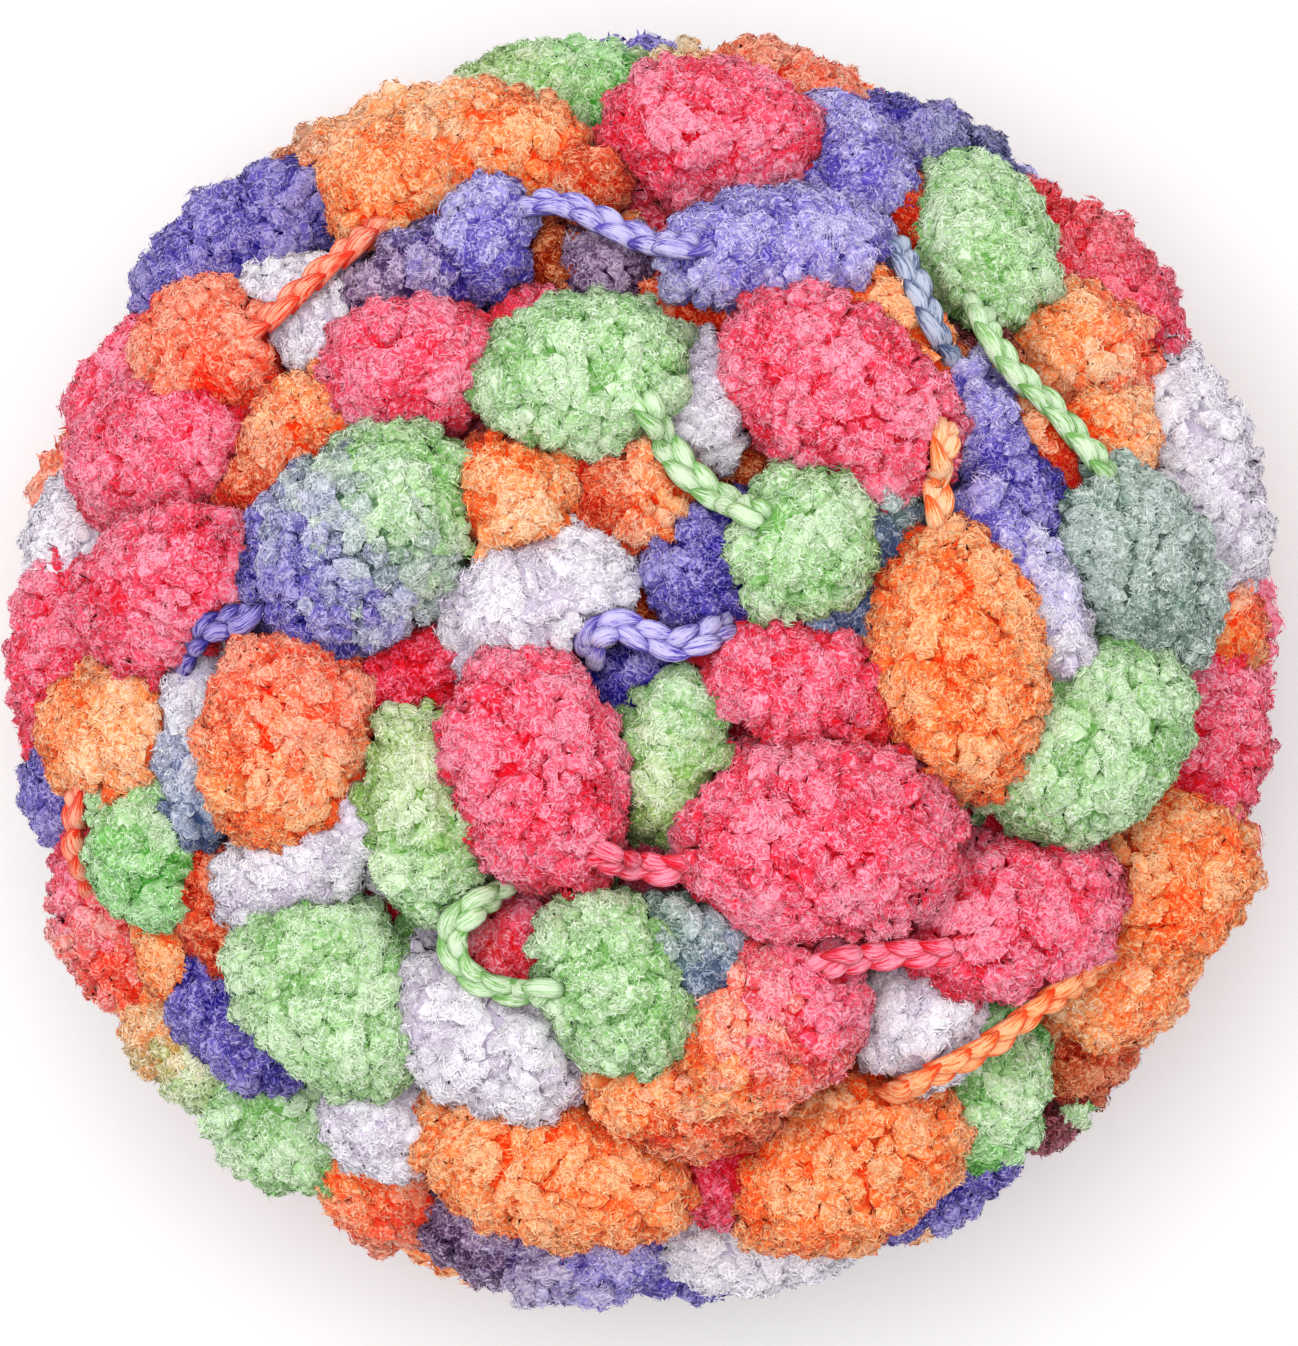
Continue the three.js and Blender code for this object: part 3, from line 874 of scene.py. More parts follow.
@dataclass
class PompomPile:
    """The pile of one pom pom, grown tuft by tuft round its spine."""

    pompom: Pompom
    style: PileStyle
    seed: int

    def __post_init__(self) -> None:
        """Starts the pom pom's own row of random draws."""
        self.rng = np.random.default_rng(self.seed)

    @property
    def area(self) -> float:
        """The surface of the pom pom's egg."""
        a, b, c = self.pompom.half**EGG_POWER
        return 4.0 * math.pi * ((a * b + a * c + b * c) / 3.0) ** (1.0 / EGG_POWER)

    def scattered(self, spacing: float, jitter: float) -> Array:
        """Directions that lie evenly but not in rows.

        Args:
            spacing: how far apart they are on the pom pom.
            jitter: how far each strays, as a share of the spacing.

        Returns:
            One unit vector a row.
        """
        count = max(int(self.area / spacing**2), self.style.fewest)
        turned = np.linalg.qr(self.rng.normal(size=(3, 3)))[0]
        stray = self.rng.normal(size=(count, 3)) * jitter * math.sqrt(4.0 * math.pi / count)
        return self.evened(unit(even_directions(count) @ turned + stray))

    def evened(self, sphere: Array) -> Array:
        """Moves directions off the egg's ends, so that they lie evenly over its surface.

        Args:
            sphere: directions that lie evenly over a sphere.

        Returns:
            The moved directions, one unit vector a row.
        """
        long, wide = self.pompom.half[:2]
        place = np.linspace(-1.0, 1.0, EGG_STEPS)
        area = np.sqrt((wide * place) ** 2 + long**2 * (1.0 - place**2))
        sums = np.cumsum(np.append(0.0, area[1:] + area[:-1]))
        along = np.interp(sphere[:, 0], 2.0 * sums / sums[-1] - 1.0, place)
        room = np.sqrt((1.0 - along**2) / np.maximum(1.0 - sphere[:, 0] ** 2, 1e-9))
        return np.column_stack((along, sphere[:, 1:] * room[:, None]))

    def spine_point(self, surface: Array) -> Array:
        """The point of the spine that each surface point grows from.

        Args:
            surface: points of the egg's surface, in its own axes.

        Returns:
            One point of the spine for each.
        """
        half = self.pompom.half
        reach = max(half[0] - half[1], 0.0) * self.style.spine_share
        foot = np.zeros_like(surface)
        foot[:, 0] = np.clip(surface[:, 0], -reach, reach)
        return foot

    def lumps(self, directions: Array) -> Array:
        """A slow swell over the pom pom, from about -1 to 1.

        Args:
            directions: unit vectors from the pom pom's middle.

        Returns:
            The swell in each direction.
        """
        style = self.style
        waves = self.rng.normal(size=(style.swell_waves, 3)) * style.swell_tightness
        phase = self.rng.uniform(0.0, 2.0 * math.pi, style.swell_waves)
        return np.sin(directions @ waves.T + phase).mean(axis=1) * style.swell_height

    def clump_lift(self, gap: Array) -> Array:
        """How far tufts rise in their clump, by their distance from its middle.

        Args:
            gap: how far each tuft is from the middle of its clump.

        Returns:
            The rise of each tuft, which is below 0 at the clump's edge.
        """
        style = self.style
        edge = np.minimum(gap / (style.clump_width * style.clump_edge), style.clump_lowest)
        return style.clump_rise * (1.0 - style.clump_fall * edge**2)

    def grow(self) -> Tufts:
        """Grows all tufts of the pom pom, with its hidden side too.

        Returns:
            The tufts, in the ball's own axes.
        """
        half, style, rng = self.pompom.half, self.style, self.rng
        sphere = self.scattered(style.spacing, style.jitter)
        count = len(sphere)
        surface = sphere * half
        middles = self.scattered(style.clump_width, style.clump_jitter) * half
        gaps = np.linalg.norm(surface[:, None] - middles[None], axis=2)
        nearest = np.argmin(gaps, axis=1)
        rise = self.clump_lift(gaps.min(axis=1))
        own = rng.normal(size=len(middles))[nearest] * style.clump_spread
        foot = self.spine_point(surface)
        way = unit(surface - foot)
        reach = np.linalg.norm(surface - foot, axis=1)
        drawn = surface + (middles[nearest] - surface) * style.clump_pull
        tip_way = unit(drawn - foot)
        length = reach * (1.0 + self.lumps(sphere) * style.swell)
        length += rise + own + rng.normal(size=count) * style.tuft_wander
        tip = foot + tip_way * length[:, None]
        root_reach = np.maximum(reach - style.tuft_length, reach * style.shortest_share)
        root = foot + way * root_reach[:, None]
        bend = (root + tip) / 2.0 + rng.normal(size=way.shape) * style.tuft_bend
        radius = style.tuft_radius * rng.uniform(*style.tuft_radii, count)
        axes, centre = self.pompom.axes, self.pompom.centre
        return Tufts(
            root @ axes + centre,
            bend @ axes + centre,
            tip @ axes + centre,
            radius,
            self.dyes(tip[:, 0] / half[0]),
            (rise + own) / style.clump_rise,
            rng.normal(size=(len(middles), 3))[nearest],
            np.ones(count),
        )

    def dyes(self, place: Array) -> Array:
        """The dye of each tuft by its place between the pom pom's ends, from -1 to 1.

        Args:
            place: the place of each tuft's tip.

        Returns:
            One linear colour a tuft.
        """
        wander = self.rng.normal(size=len(place)) * self.style.blend_wander
        share = smooth_step(place + wander, -DYE_REACH, DYE_REACH)[:, None]
        first, last = self.pompom.dye.shares, self.pompom.end_dye.shares
        mixed = first * (1.0 - share) + last * share
        gap = float(np.abs(first - last).mean())
        mixed += (1.0 - mixed) * self.style.blend_paleness * gap * share * (1.0 - share)
        return linear(mixed) * self.rng.uniform(*self.style.tuft_dyes, len(place))[:, None]

    def add_tufts(self, heap: MeshHeap, tufts: Tufts) -> None:
        """Adds the tufts as bent stubs with a round head.

        Args:
            heap: the piece.
            tufts: the tufts.
        """
        style, rng, way = self.style, self.rng, tufts.way
        shape, count = style.shape, len(way)
        fold = tufts.fold + rng.normal(size=way.shape) * style.fold_wander
        across = unit(fold - way * np.sum(fold * way, axis=1)[:, None])
        over = np.cross(way, across)
        turn = np.arange(shape.sides) * 2.0 * math.pi / shape.sides
        wide = np.cos(turn)[:, None] * across[:, None] * style.broad
        spread = wide + np.sin(turn)[:, None] * over[:, None] * style.narrow
        rings, facing = [], []
        for station, swell in shape.stations:
            thick = rng.uniform(*style.unevenness, (count, shape.sides)) * swell
            thick = thick * tufts.radius[:, None]
            rings.append(tufts.along(station)[:, None] + spread * thick[..., None])
            upward = style.facing_gain * station - style.facing_drop
            facing.append(unit(spread) + way[:, None] * upward)
        end = tufts.tip + way * (tufts.radius * rng.uniform(*style.cap, count))[:, None]
        points = np.concatenate((*rings, end[:, None]), axis=1)
        stations = np.repeat([station for station, _ in shape.stations], shape.sides)
        # The share of painted light: painted shade on the low ring, more light on the upper ring
        # and a painted highlight on the cap.
        share = np.append(stations * style.ring_share, style.cap_share) * self.painted_light(tufts)
        normals = np.concatenate((*facing, way[:, None]), axis=1)
        frame = np.stack((across * style.streak, over, way * style.streak), axis=2)
        grain = np.einsum("tpi,tij->tpj", points - tufts.tip[:, None], frame)
        self.add_dyed(heap, points, share, tufts.dye, normals, shape, grain)

    def painted_light(self, tufts: Tufts) -> Array:
        """The painted light of each tuft, by its rise over the others: a column.

        Args:
            tufts: the tufts.

        Returns:
            A share near 1 for each tuft, higher as a painted highlight where it rises and lower as
            painted shade in a crevice.
        """
        limit = self.style.rise_limit
        risen = 1.0 + self.style.rise_share * np.clip(tufts.rise, -limit, limit)
        return risen[:, None] * tufts.open[:, None]

    def add_fibres(self, heap: MeshHeap, tufts: Tufts) -> None:
        """Adds the fibres that curl over the head of each tuft.

        Args:
            heap: the piece.
            tufts: the tufts.
        """
        style, rng, way = self.style, self.rng, tufts.way
        count = len(way)
        head = tufts.tip - way * (tufts.radius * style.head_drop)[:, None]
        radius = tufts.radius[:, None]
        for index in range(style.fibres):
            reach = style.stray_reach if index < style.stray_fibres else style.fibre_reach
            rise = rng.uniform(*style.fibre_rise, count)[:, None]
            out = unit(way * rise + unit(rng.normal(size=way.shape)))
            over = unit(np.cross(out, rng.normal(size=way.shape)))
            turned = unit(out + over * rng.uniform(*style.fibre_turn, count)[:, None])
            foot = head + out * radius * rng.uniform(*style.fibre_feet, (count, 1))
            end = head + turned * radius * reach * rng.uniform(*style.fibre_ends, (count, 1))
            width = style.fibre_width * rng.uniform(*style.fibre_widths, (count, 1))
            side = np.cross(out, over) * width
            side *= np.sign(np.sum(np.cross(side, foot - end) * way, axis=1))[:, None]
            points = np.stack((end, foot + side, foot - side), axis=1)
            # Painted light of the fibres: paler towards the end and where a fibre faces up, as a
            # painted highlight.
            lift = np.sum(out * way, axis=1)[:, None]
            share = np.array((style.fibre_tip, 0.0, 0.0)) + style.fibre_foot
            share = (share + style.fibre_gain * lift) * self.painted_light(tufts)
            share = share * rng.uniform(*style.fibre_shares, (count, 1))
            dye = tufts.dye * rng.uniform(*style.fibre_dyes, (count, 1))
            facing = out + way * (style.softness + np.maximum(style.least_lift - lift, 0.0))
            facing += rng.normal(size=way.shape) * style.ruffle
            normals = np.repeat(facing[:, None], 3, axis=1)
            self.add_dyed(heap, points, share, dye, normals, FIBRE, points - head[:, None])

    def add_dyed(
        self,
        heap: MeshHeap,
        points: Array,
        share: Array,
        dye: Array,
        normals: Array,
        shape: RingShape | FibreShape,
        grain: Array,
    ) -> None:
        """Adds the same small form for every tuft.

        Args:
            heap: the piece.
            points: (tufts, points, 3) places.
            share: (tufts, points) the share of painted light at each point: painted shade when low,
                a painted highlight when high.
            dye: (tufts, 3) dyes.
            normals: (tufts, points, 3) the way that the pile faces there.
            shape: the form's triangles and their map.
            grain: (tufts, points, 3) place in the tuft's own fibres.
        """
        points[..., 2] = np.maximum(points[..., 2], FLOOR_GAP)
        dyes = np.broadcast_to(dye[:, None], points.shape)
        tint = np.concatenate((dyes, share[..., None]), axis=2)
        start = self.rng.uniform(0.0, GRAIN_SPAN, (len(points), 1, 3))
        heap.add(points, shape.faces(), shape.corners(), tint, grain + start, normals)


@dataclass
class YarnPile:
    """All pom poms of the ball, as one piece for each part of the pile."""

    winding: Winding
    cords: "list[PlaitedCord]"
    finish: "PileFinish"
    hidden_depth: float = 0.9
    under_depth: float = 1.02
    over_rise: float = 1.5
    # open_depth, open_drop and crevice set the painted shade of tufts that sink into a higher
    # neighbour.
    open_depth: float = 1.4
    open_drop: float = 6.0
    crevice: float = 0.5
    hidden_turn: float = -0.12
    hidden_rise: float = 0.05
    cord_room: float = 2.3
    near: float = 4.0
    first_seed: int = 101
    inner_seed: int = 900
    # How much the inner tufts are darkened, a painted shade for their place inside the ball.
    inner_painted_shade: float = 0.75

    def build(self) -> list[bpy.types.Object]:
        """Builds every part of the pile and the tufts of the inner turns.

        Returns:
            The pieces.
        """
        material = self.finish.build()
        made = []
        seeds = itertools.count(self.first_seed)
        for name, pompoms in self.winding.parts.items():
            heap = MeshHeap()
            style = FAR_PILE if name.startswith("lower_turn") else NEAR_PILE
            for pompom in pompoms:
                pile = PompomPile(pompom, style, next(seeds))
                self.add_seen(heap, pile, self.seen(pile))
            piece = heap.to_object(f"pile_{name}", material)
            LOG.info("%s: %d pom poms, %d triangles", piece.name, len(pompoms), heap.triangles)
            made.append(piece)
        made.append(self.build_inner(material))
        return made

    def build_inner(self, material: bpy.types.Material) -> bpy.types.Object:
        """Builds the tufts of the inner turns, which fill the gaps between the pom poms.

        Args:
            material: the finish of the pile.

        Returns:
            The piece.
        """
        heap = MeshHeap()
        turns = self.winding.inner_turns
        pile = PompomPile(turns, INNER_PILE, self.inner_seed)
        tufts = self.seen(pile)
        # The inner tufts take the dye of their nearest pom pom, darkened as painted shade.
        tufts.dye = self.winding.nearest_dyes(tufts.tip) * self.inner_painted_shade
        self.add_seen(heap, pile, tufts)
        piece = heap.to_object("inner_turns", material)
        LOG.info("%s: %d tufts, %d triangles", piece.name, len(tufts.tip), heap.triangles)
        return piece

    @staticmethod
    def add_seen(heap: MeshHeap, pile: PompomPile, tufts: Tufts) -> None:
        """Adds the tufts of a pom pom that may be seen, with their fibres."""
        pile.add_tufts(heap, tufts)
        pile.add_fibres(heap, tufts)

    def seen(self, pile: PompomPile) -> Tufts:
        """Grows the tufts of a pom pom and keeps those that aren't buried in the ball.

        Args:
            pile: the pom pom's pile.

        Returns:
            The tufts that may be seen, those in a crevice given painted shade: a lower share of
            painted light.
        """
        pompom, tufts = pile.pompom, pile.grow()
        way = unit(tufts.tip - pompom.centre)
        seen = (way @ pompom.outward > self.hidden_turn) | (way @ UP > self.hidden_rise)
        for other in self.winding.pompoms:
            gap = np.linalg.norm(other.centre - pompom.centre)
            if other is pompom or gap > pompom.half[0] + other.half[0] + self.near:
                continue
            depth = other.depth_of(tufts.tip)
            over = (other.centre - pompom.centre) @ pompom.outward > self.over_rise
            seen &= depth > (self.under_depth if over else self.hidden_depth)
            # Painted shade: tufts that sink into a higher neighbouring pom pom lose some of their
            # painted light.
            shut = 1.0 - smooth_step(depth, self.hidden_depth, self.open_depth)
            higher = (other.centre - tufts.tip) @ pompom.outward > -self.open_drop
            tufts.open = tufts.open * (1.0 - self.crevice * shut * higher)
        for cord in self.cords:
            for point in cord.line:
                seen &= np.linalg.norm(tufts.tip - point, axis=1) > self.cord_room
        return tufts.keep(seen)


@dataclass
class PackedCore:
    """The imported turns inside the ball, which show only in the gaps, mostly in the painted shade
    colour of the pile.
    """

    winding: Winding
    finish: "PileFinish"
    shrink: float = 0.88
    inner_shrink: float = 0.96
    # A middling share of painted light, which leaves the inner bodies mostly in painted shade.
    share: float = 0.5
    turns: int = 12
    rings: int = 8
    pole: float = 0.02

    def build(self) -> bpy.types.Object:
        """Builds a closed inner body for each pom pom, as one piece.

        Returns:
            The piece.
        """
        heap = MeshHeap()
        for pompom in self.winding.pompoms:
            self.add_body(heap, pompom, self.shrink)
        self.add_body(heap, self.winding.inner_turns, self.inner_shrink)
        piece = heap.to_object("packed_core", self.finish.build())
        LOG.info("%s: %d triangles", piece.name, heap.triangles)
        return piece

    def egg_shape(self) -> RingShape:
        """The rings of a closed egg.

        Returns:
            The shape, pinched shut at both ends.
        """
        places = np.linspace(0.0, 1.0, self.rings)
        swells = np.sin(math.pi * places * (1.0 - self.pole) + self.pole)
        return RingShape(self.turns, tuple(zip(places, swells)))

    def add_body(self, heap: MeshHeap, pompom: Pompom, shrink: float) -> None:
        """Adds the inner body of one pom pom, shrunk to a share of its size.

        Args:
            heap: the piece.
            pompom: the pom pom.
            shrink: the share of its size.
        """
        shape = self.egg_shape()
        turn = np.arange(self.turns) * 2.0 * math.pi / self.turns
        rings = []
        for place, swell in shape.stations:
            along = np.full(self.turns, -math.cos(math.pi * place))
            rings.append(np.stack((along, np.cos(turn) * swell, np.sin(turn) * swell), axis=1))
        points = np.concatenate((*rings, np.array(((1.0, 0.0, 0.0),))))
        place = (points * pompom.half * shrink) @ pompom.axes + pompom.centre
        place[:, 2] = np.maximum(place[:, 2], FLOOR_GAP)
        normals = (points / pompom.half) @ pompom.axes
        blend = smooth_step(points[:, :1], -DYE_REACH, DYE_REACH)
        dye = pompom.dye.linear * (1.0 - blend) + pompom.end_dye.linear * blend
        tint = np.concatenate((dye, np.full((len(points), 1), self.share)), axis=1)
        grain = points[None] * pompom.half
        heap.add(place[None], shape.faces(), shape.corners(), tint[None], grain, normals[None])


@dataclass
class PlaitedCord:
    """A cord between two pom poms: two rows of loops, each tucked under the next."""

    name: str
    dye: Dye
    winding: Winding
    through: Sequence[tuple[float, float]]
    width: float = 5.0
    pitch: float = 4.6
    loop_length: float = 6.9
    loop_wide: float = 1.35
    loop_thick: float = 1.15
    loop_sizes: tuple[float, float] = (0.94, 1.06)
    loop_dyes: tuple[float, float] = (0.93, 1.05)
    pinch: float = 0.1
    bulge_power: float = 0.9
    bulge_start: float = 0.02
    bulge_span: float = 0.97
    row_out: float = 0.2
    row_sunk: float = 0.06
    arch: float = 0.2
    slant: float = 1.5
    slant_out: float = 0.9
    slant_middle: float = 0.45
    rise_middle: float = 0.35
    level: float = -3.0
    seat: float = 1.1
    dive: float = 7.0
    strand_lines: float = 1.3
    plies: int = 4
    ply_depth: float = 0.05
    ply_turn: float = 6.0
    end_facing: float = 0.8
    # lit, lit_range, lit_power, paleness and end_paleness set the painted light on the loops: a
    # painted highlight on their tops and middles, painted shade underneath and at their ends.
    lit: float = 0.55
    lit_range: float = 0.45
    lit_power: float = 1.5
    paleness: float = 1.25
    end_paleness: float = 0.1
    sides: int = 16
    rings: int = 9

    def __post_init__(self) -> None:
        """Draws the cord's middle line over the pile."""
        self.line = self.even_line(self.knots())

    def knots(self) -> Array:
        """The points that the cord passes, with their heights.

        Returns:
            One point a row, of which the first and last lie in the pile.
        """
        made = []
        for index, (x, y) in enumerate(self.through):
            even = self.winding.form.surface_height(x, y, 0.0) + self.level
            hidden = index in (0, len(self.through) - 1)
            over = self.winding.pile_height(x, y) + self.seat
            made.append((x, y, even - self.dive if hidden else max(even, over)))
        return np.array(made)

    @staticmethod
    def even_line(knots: Array, step: float = 0.5, parts: int = 24) -> Array:
        """A smooth line through the knots.

        Args:
            knots: the points to pass.
            step: the distance between the line's points.
            parts: how many parts the bend between two knots is drawn in.

        Returns:
            Evenly spaced points of the line.
        """
        ends = np.concatenate((2 * knots[:1] - knots[1:2], knots, 2 * knots[-1:] - knots[-2:-1]))
        share = np.linspace(0.0, 1.0, parts, endpoint=False)[:, None]
        runs = []
        for a, b, c, d in zip(ends, ends[1:], ends[2:], ends[3:]):
            cubic = 3 * b - a - 3 * c + d
            square = 2 * a - 5 * b + 4 * c - d
            runs.append(b + (c - a) * share / 2 + square * share**2 / 2 + cubic * share**3 / 2)
        line = np.concatenate((*runs, knots[-1:]))
        reach = np.concatenate(((0.0,), np.cumsum(np.linalg.norm(np.diff(line, axis=0), axis=1))))
        wanted = np.linspace(0.0, reach[-1], max(int(reach[-1] / step), 2))
        return np.stack([np.interp(wanted, reach, line[:, k]) for k in range(3)], axis=1)

    @property
    def length(self) -> float:
        """Length of the cord's middle line."""
        return float(np.linalg.norm(np.diff(self.line, axis=0), axis=1).sum())

    def at(self, distance: Array) -> tuple[Array, Array, Array]:
        """The line's points, and the ways to its side and its top, at distances along it.

        Args:
            distance: how far along the line each place is.

        Returns:
            The points, the sides and the tops, each with one row a distance.
        """
        reach = np.linspace(0.0, self.length, len(self.line))
        tangents = unit(np.gradient(self.line, axis=0))
        outward = unit(self.line - self.winding.form.middle)
        sides = unit(np.cross(outward, tangents))
        tops = np.cross(tangents, sides)
        distance = np.clip(distance, 0.0, self.length)
        return tuple(
            np.stack([np.interp(distance, reach, rows[:, k]) for k in range(3)], axis=1)
            for rows in (self.line, sides, tops)
        )

    def loop_line(self, start: float, hand: int) -> Array:
        """The middle line of one loop, on the side of the cord that hand says.

        Args:
            start: how far along the cord the loop starts.
            hand: -1 or 1, the side of the cord.

        Returns:
            The line's points.
        """
        share = np.linspace(0.0, 1.0, self.rings)
        point, side, top = self.at(start + share * self.loop_length)
        inward = self.slant * (self.slant_middle - share) * self.slant_out
        out = hand * (self.width * self.row_out + inward)
        arched = self.width * (self.arch * np.sin(math.pi * share) - self.row_sunk)
        rise = arched + self.slant * (self.rise_middle - share)
        return point + side * out[:, None] + top * rise[:, None]

    def bulge(self, share: Array) -> Array:
        """How thick a loop is from end to end, pinched at its ends and full in its middle."""
        place = share * self.bulge_span + self.bulge_start
        return self.pinch + (1.0 - self.pinch) * np.sin(math.pi * place) ** self.bulge_power

    def loop_grain(self, turn: Array, share: Array) -> Array:
        """Where each point of a loop lies in its fibres, which run along it.

        Args:
            turn: the angles round the loop.
            share: the places along it, from 0 to 1.

        Returns:
            One row a point, with the tip's last.
        """
        around = np.tile(turn, self.rings) * self.strand_lines
        along = np.repeat(share, self.sides)
        rows = np.stack((around, np.zeros_like(around), along), axis=1)
        return np.concatenate((rows, ((0.0, 0.0, 1.0),)))

    def loop_light(self, turn: Array, swell: Array) -> Array:
        """The painted light of each point of a loop: a painted highlight on the top of its middle,
        painted shade below and towards its pinched ends.

        Args:
            turn: the angles round the loop.
            swell: how thick it is along its length.

        Returns:
            One share a point, with the tip's last.
        """
        lit = self.lit - self.lit_range * np.sin(turn)
        rows = self.paleness * np.outer(swell**self.lit_power, lit)
        return np.append(rows.ravel(), self.end_paleness)

    def add_loop(self, heap: MeshHeap, start: float, hand: int, rng: np.random.Generator) -> None:
        """Adds one loop, as a bent bundle that is thickest in its middle.

        Args:
            heap: the piece.
            start: how far along the cord the loop starts.
            hand: -1 or 1, the side of the cord.
            rng: the cord's own random draws.
        """
        line = self.loop_line(start, hand)
        way = unit(np.gradient(line, axis=0))
        across = unit(np.cross(way, UP))
        over = np.cross(way, across)
        share = np.linspace(0.0, 1.0, self.rings)
        swell = self.bulge(share) * rng.uniform(*self.loop_sizes)
        turn = np.arange(self.sides) * 2.0 * math.pi / self.sides
        twist = rng.uniform(0.0, self.ply_turn)
        ridges = 1.0 + self.ply_depth * np.cos(self.plies * turn + twist)
        wide = (np.cos(turn) * ridges * self.loop_wide)[None, :, None] * across[:, None]
        high = (np.sin(turn) * ridges * self.loop_thick)[None, :, None] * over[:, None]
        rings = line[:, None] + (wide + high) * swell[:, None, None]
        points = np.concatenate((rings.reshape(-1, 3), line[-1:]))
        facing = wide / self.loop_wide**2 + high / self.loop_thick**2
        facing = facing + way[:, None] * (share[:, None, None] - 0.5) * self.end_facing
        normals = np.concatenate((facing.reshape(-1, 3), way[-1:]))
        shape = RingShape(self.sides, tuple((t, 1.0) for t in share))
        grain = self.loop_grain(turn, share) + rng.uniform(0.0, GRAIN_SPAN, 3)
        dye = self.dye.linear * rng.uniform(*self.loop_dyes)
        colour = np.broadcast_to(dye, (len(points), 3))
        tint = np.concatenate((colour, self.loop_light(turn, swell)[:, None]), axis=1)
        faces, corners = shape.faces(), shape.corners()
        heap.add(points[None], faces, corners, tint[None], grain[None], normals[None])

    def build(self, material: bpy.types.Material) -> bpy.types.Object:
        """Builds the cord.

        Args:
            material: its finish.

        Returns:
            The piece.
        """
        rng = np.random.default_rng(sum(map(ord, self.name)))
        heap = MeshHeap()
        loops = int((self.length - self.loop_length) / self.pitch) + 1
        for index in range(loops + 1):
            for hand in (-1, 1):
                start = min(index * self.pitch, self.length - self.loop_length - self.pitch / 2.0)
                self.add_loop(heap, start + (self.pitch / 2.0 if hand > 0 else 0.0), hand, rng)
        piece = heap.to_object(f"cord_{self.name}", material)
        LOG.info("%s: %.0f mm long, %d triangles", piece.name, self.length, heap.triangles)
        return piece


@dataclass(frozen=True)
class Signal:
    """A value or colour on its way through a material, which sums like a number."""

    graph: "Graph"
    socket: bpy.types.NodeSocket

    @property
    def is_value(self) -> bool:
        """True for a single number, false for a colour or a vector."""
        return self.socket.type == "VALUE"

    def combine(self, operation: str, first: Any, second: Any) -> "Signal":
        """One step of arithmetic, on numbers or on all parts of a vector at once.

        Args:
            operation: the name of the step.
            first: a signal or a number.
            second: a signal or a number.

        Returns:
            The result.
        """
        signals = [item for item in (first, second) if isinstance(item, Signal)]
        if all(item.is_value for item in signals):
            return self.graph.add("ShaderNodeMath", {"operation": operation}, {0: first, 1: second})
        wide = [item if isinstance(item, Signal) else (item,) * 3 for item in (first, second)]
        settings = {"operation": operation}
        return self.graph.add("ShaderNodeVectorMath", settings, {0: wide[0], 1: wide[1]})

    def __add__(self, other: Any) -> "Signal":
        """self + other."""
        return self.combine("ADD", self, other)

    def __radd__(self, other: Any) -> "Signal":
        """other + self."""
        return self.combine("ADD", other, self)

    def __sub__(self, other: Any) -> "Signal":
        """self - other."""
        return self.combine("SUBTRACT", self, other)

    def __rsub__(self, other: Any) -> "Signal":
        """other - self."""
        return self.combine("SUBTRACT", other, self)

    def __mul__(self, other: Any) -> "Signal":
        """self * other."""
        return self.combine("MULTIPLY", self, other)

    def __rmul__(self, other: Any) -> "Signal":
        """other * self."""
        return self.combine("MULTIPLY", other, self)

    def __truediv__(self, other: Any) -> "Signal":
        """self / other."""
        return self.combine("DIVIDE", self, other)

    def __rtruediv__(self, other: Any) -> "Signal":
        """other / self."""
        return self.combine("DIVIDE", other, self)

    def step(self, low: float, high: float) -> "Signal":
        """0 below low, 1 above high, and an even S between them.

        Args:
            low: where the S starts.
            high: where the S ends.

        Returns:
            The S.
        """
        settings = {"interpolation_type": "SMOOTHSTEP"}
        sockets = {"Value": self, "From Min": low, "From Max": high}
        return self.graph.add("ShaderNodeMapRange", settings, sockets, "Result")


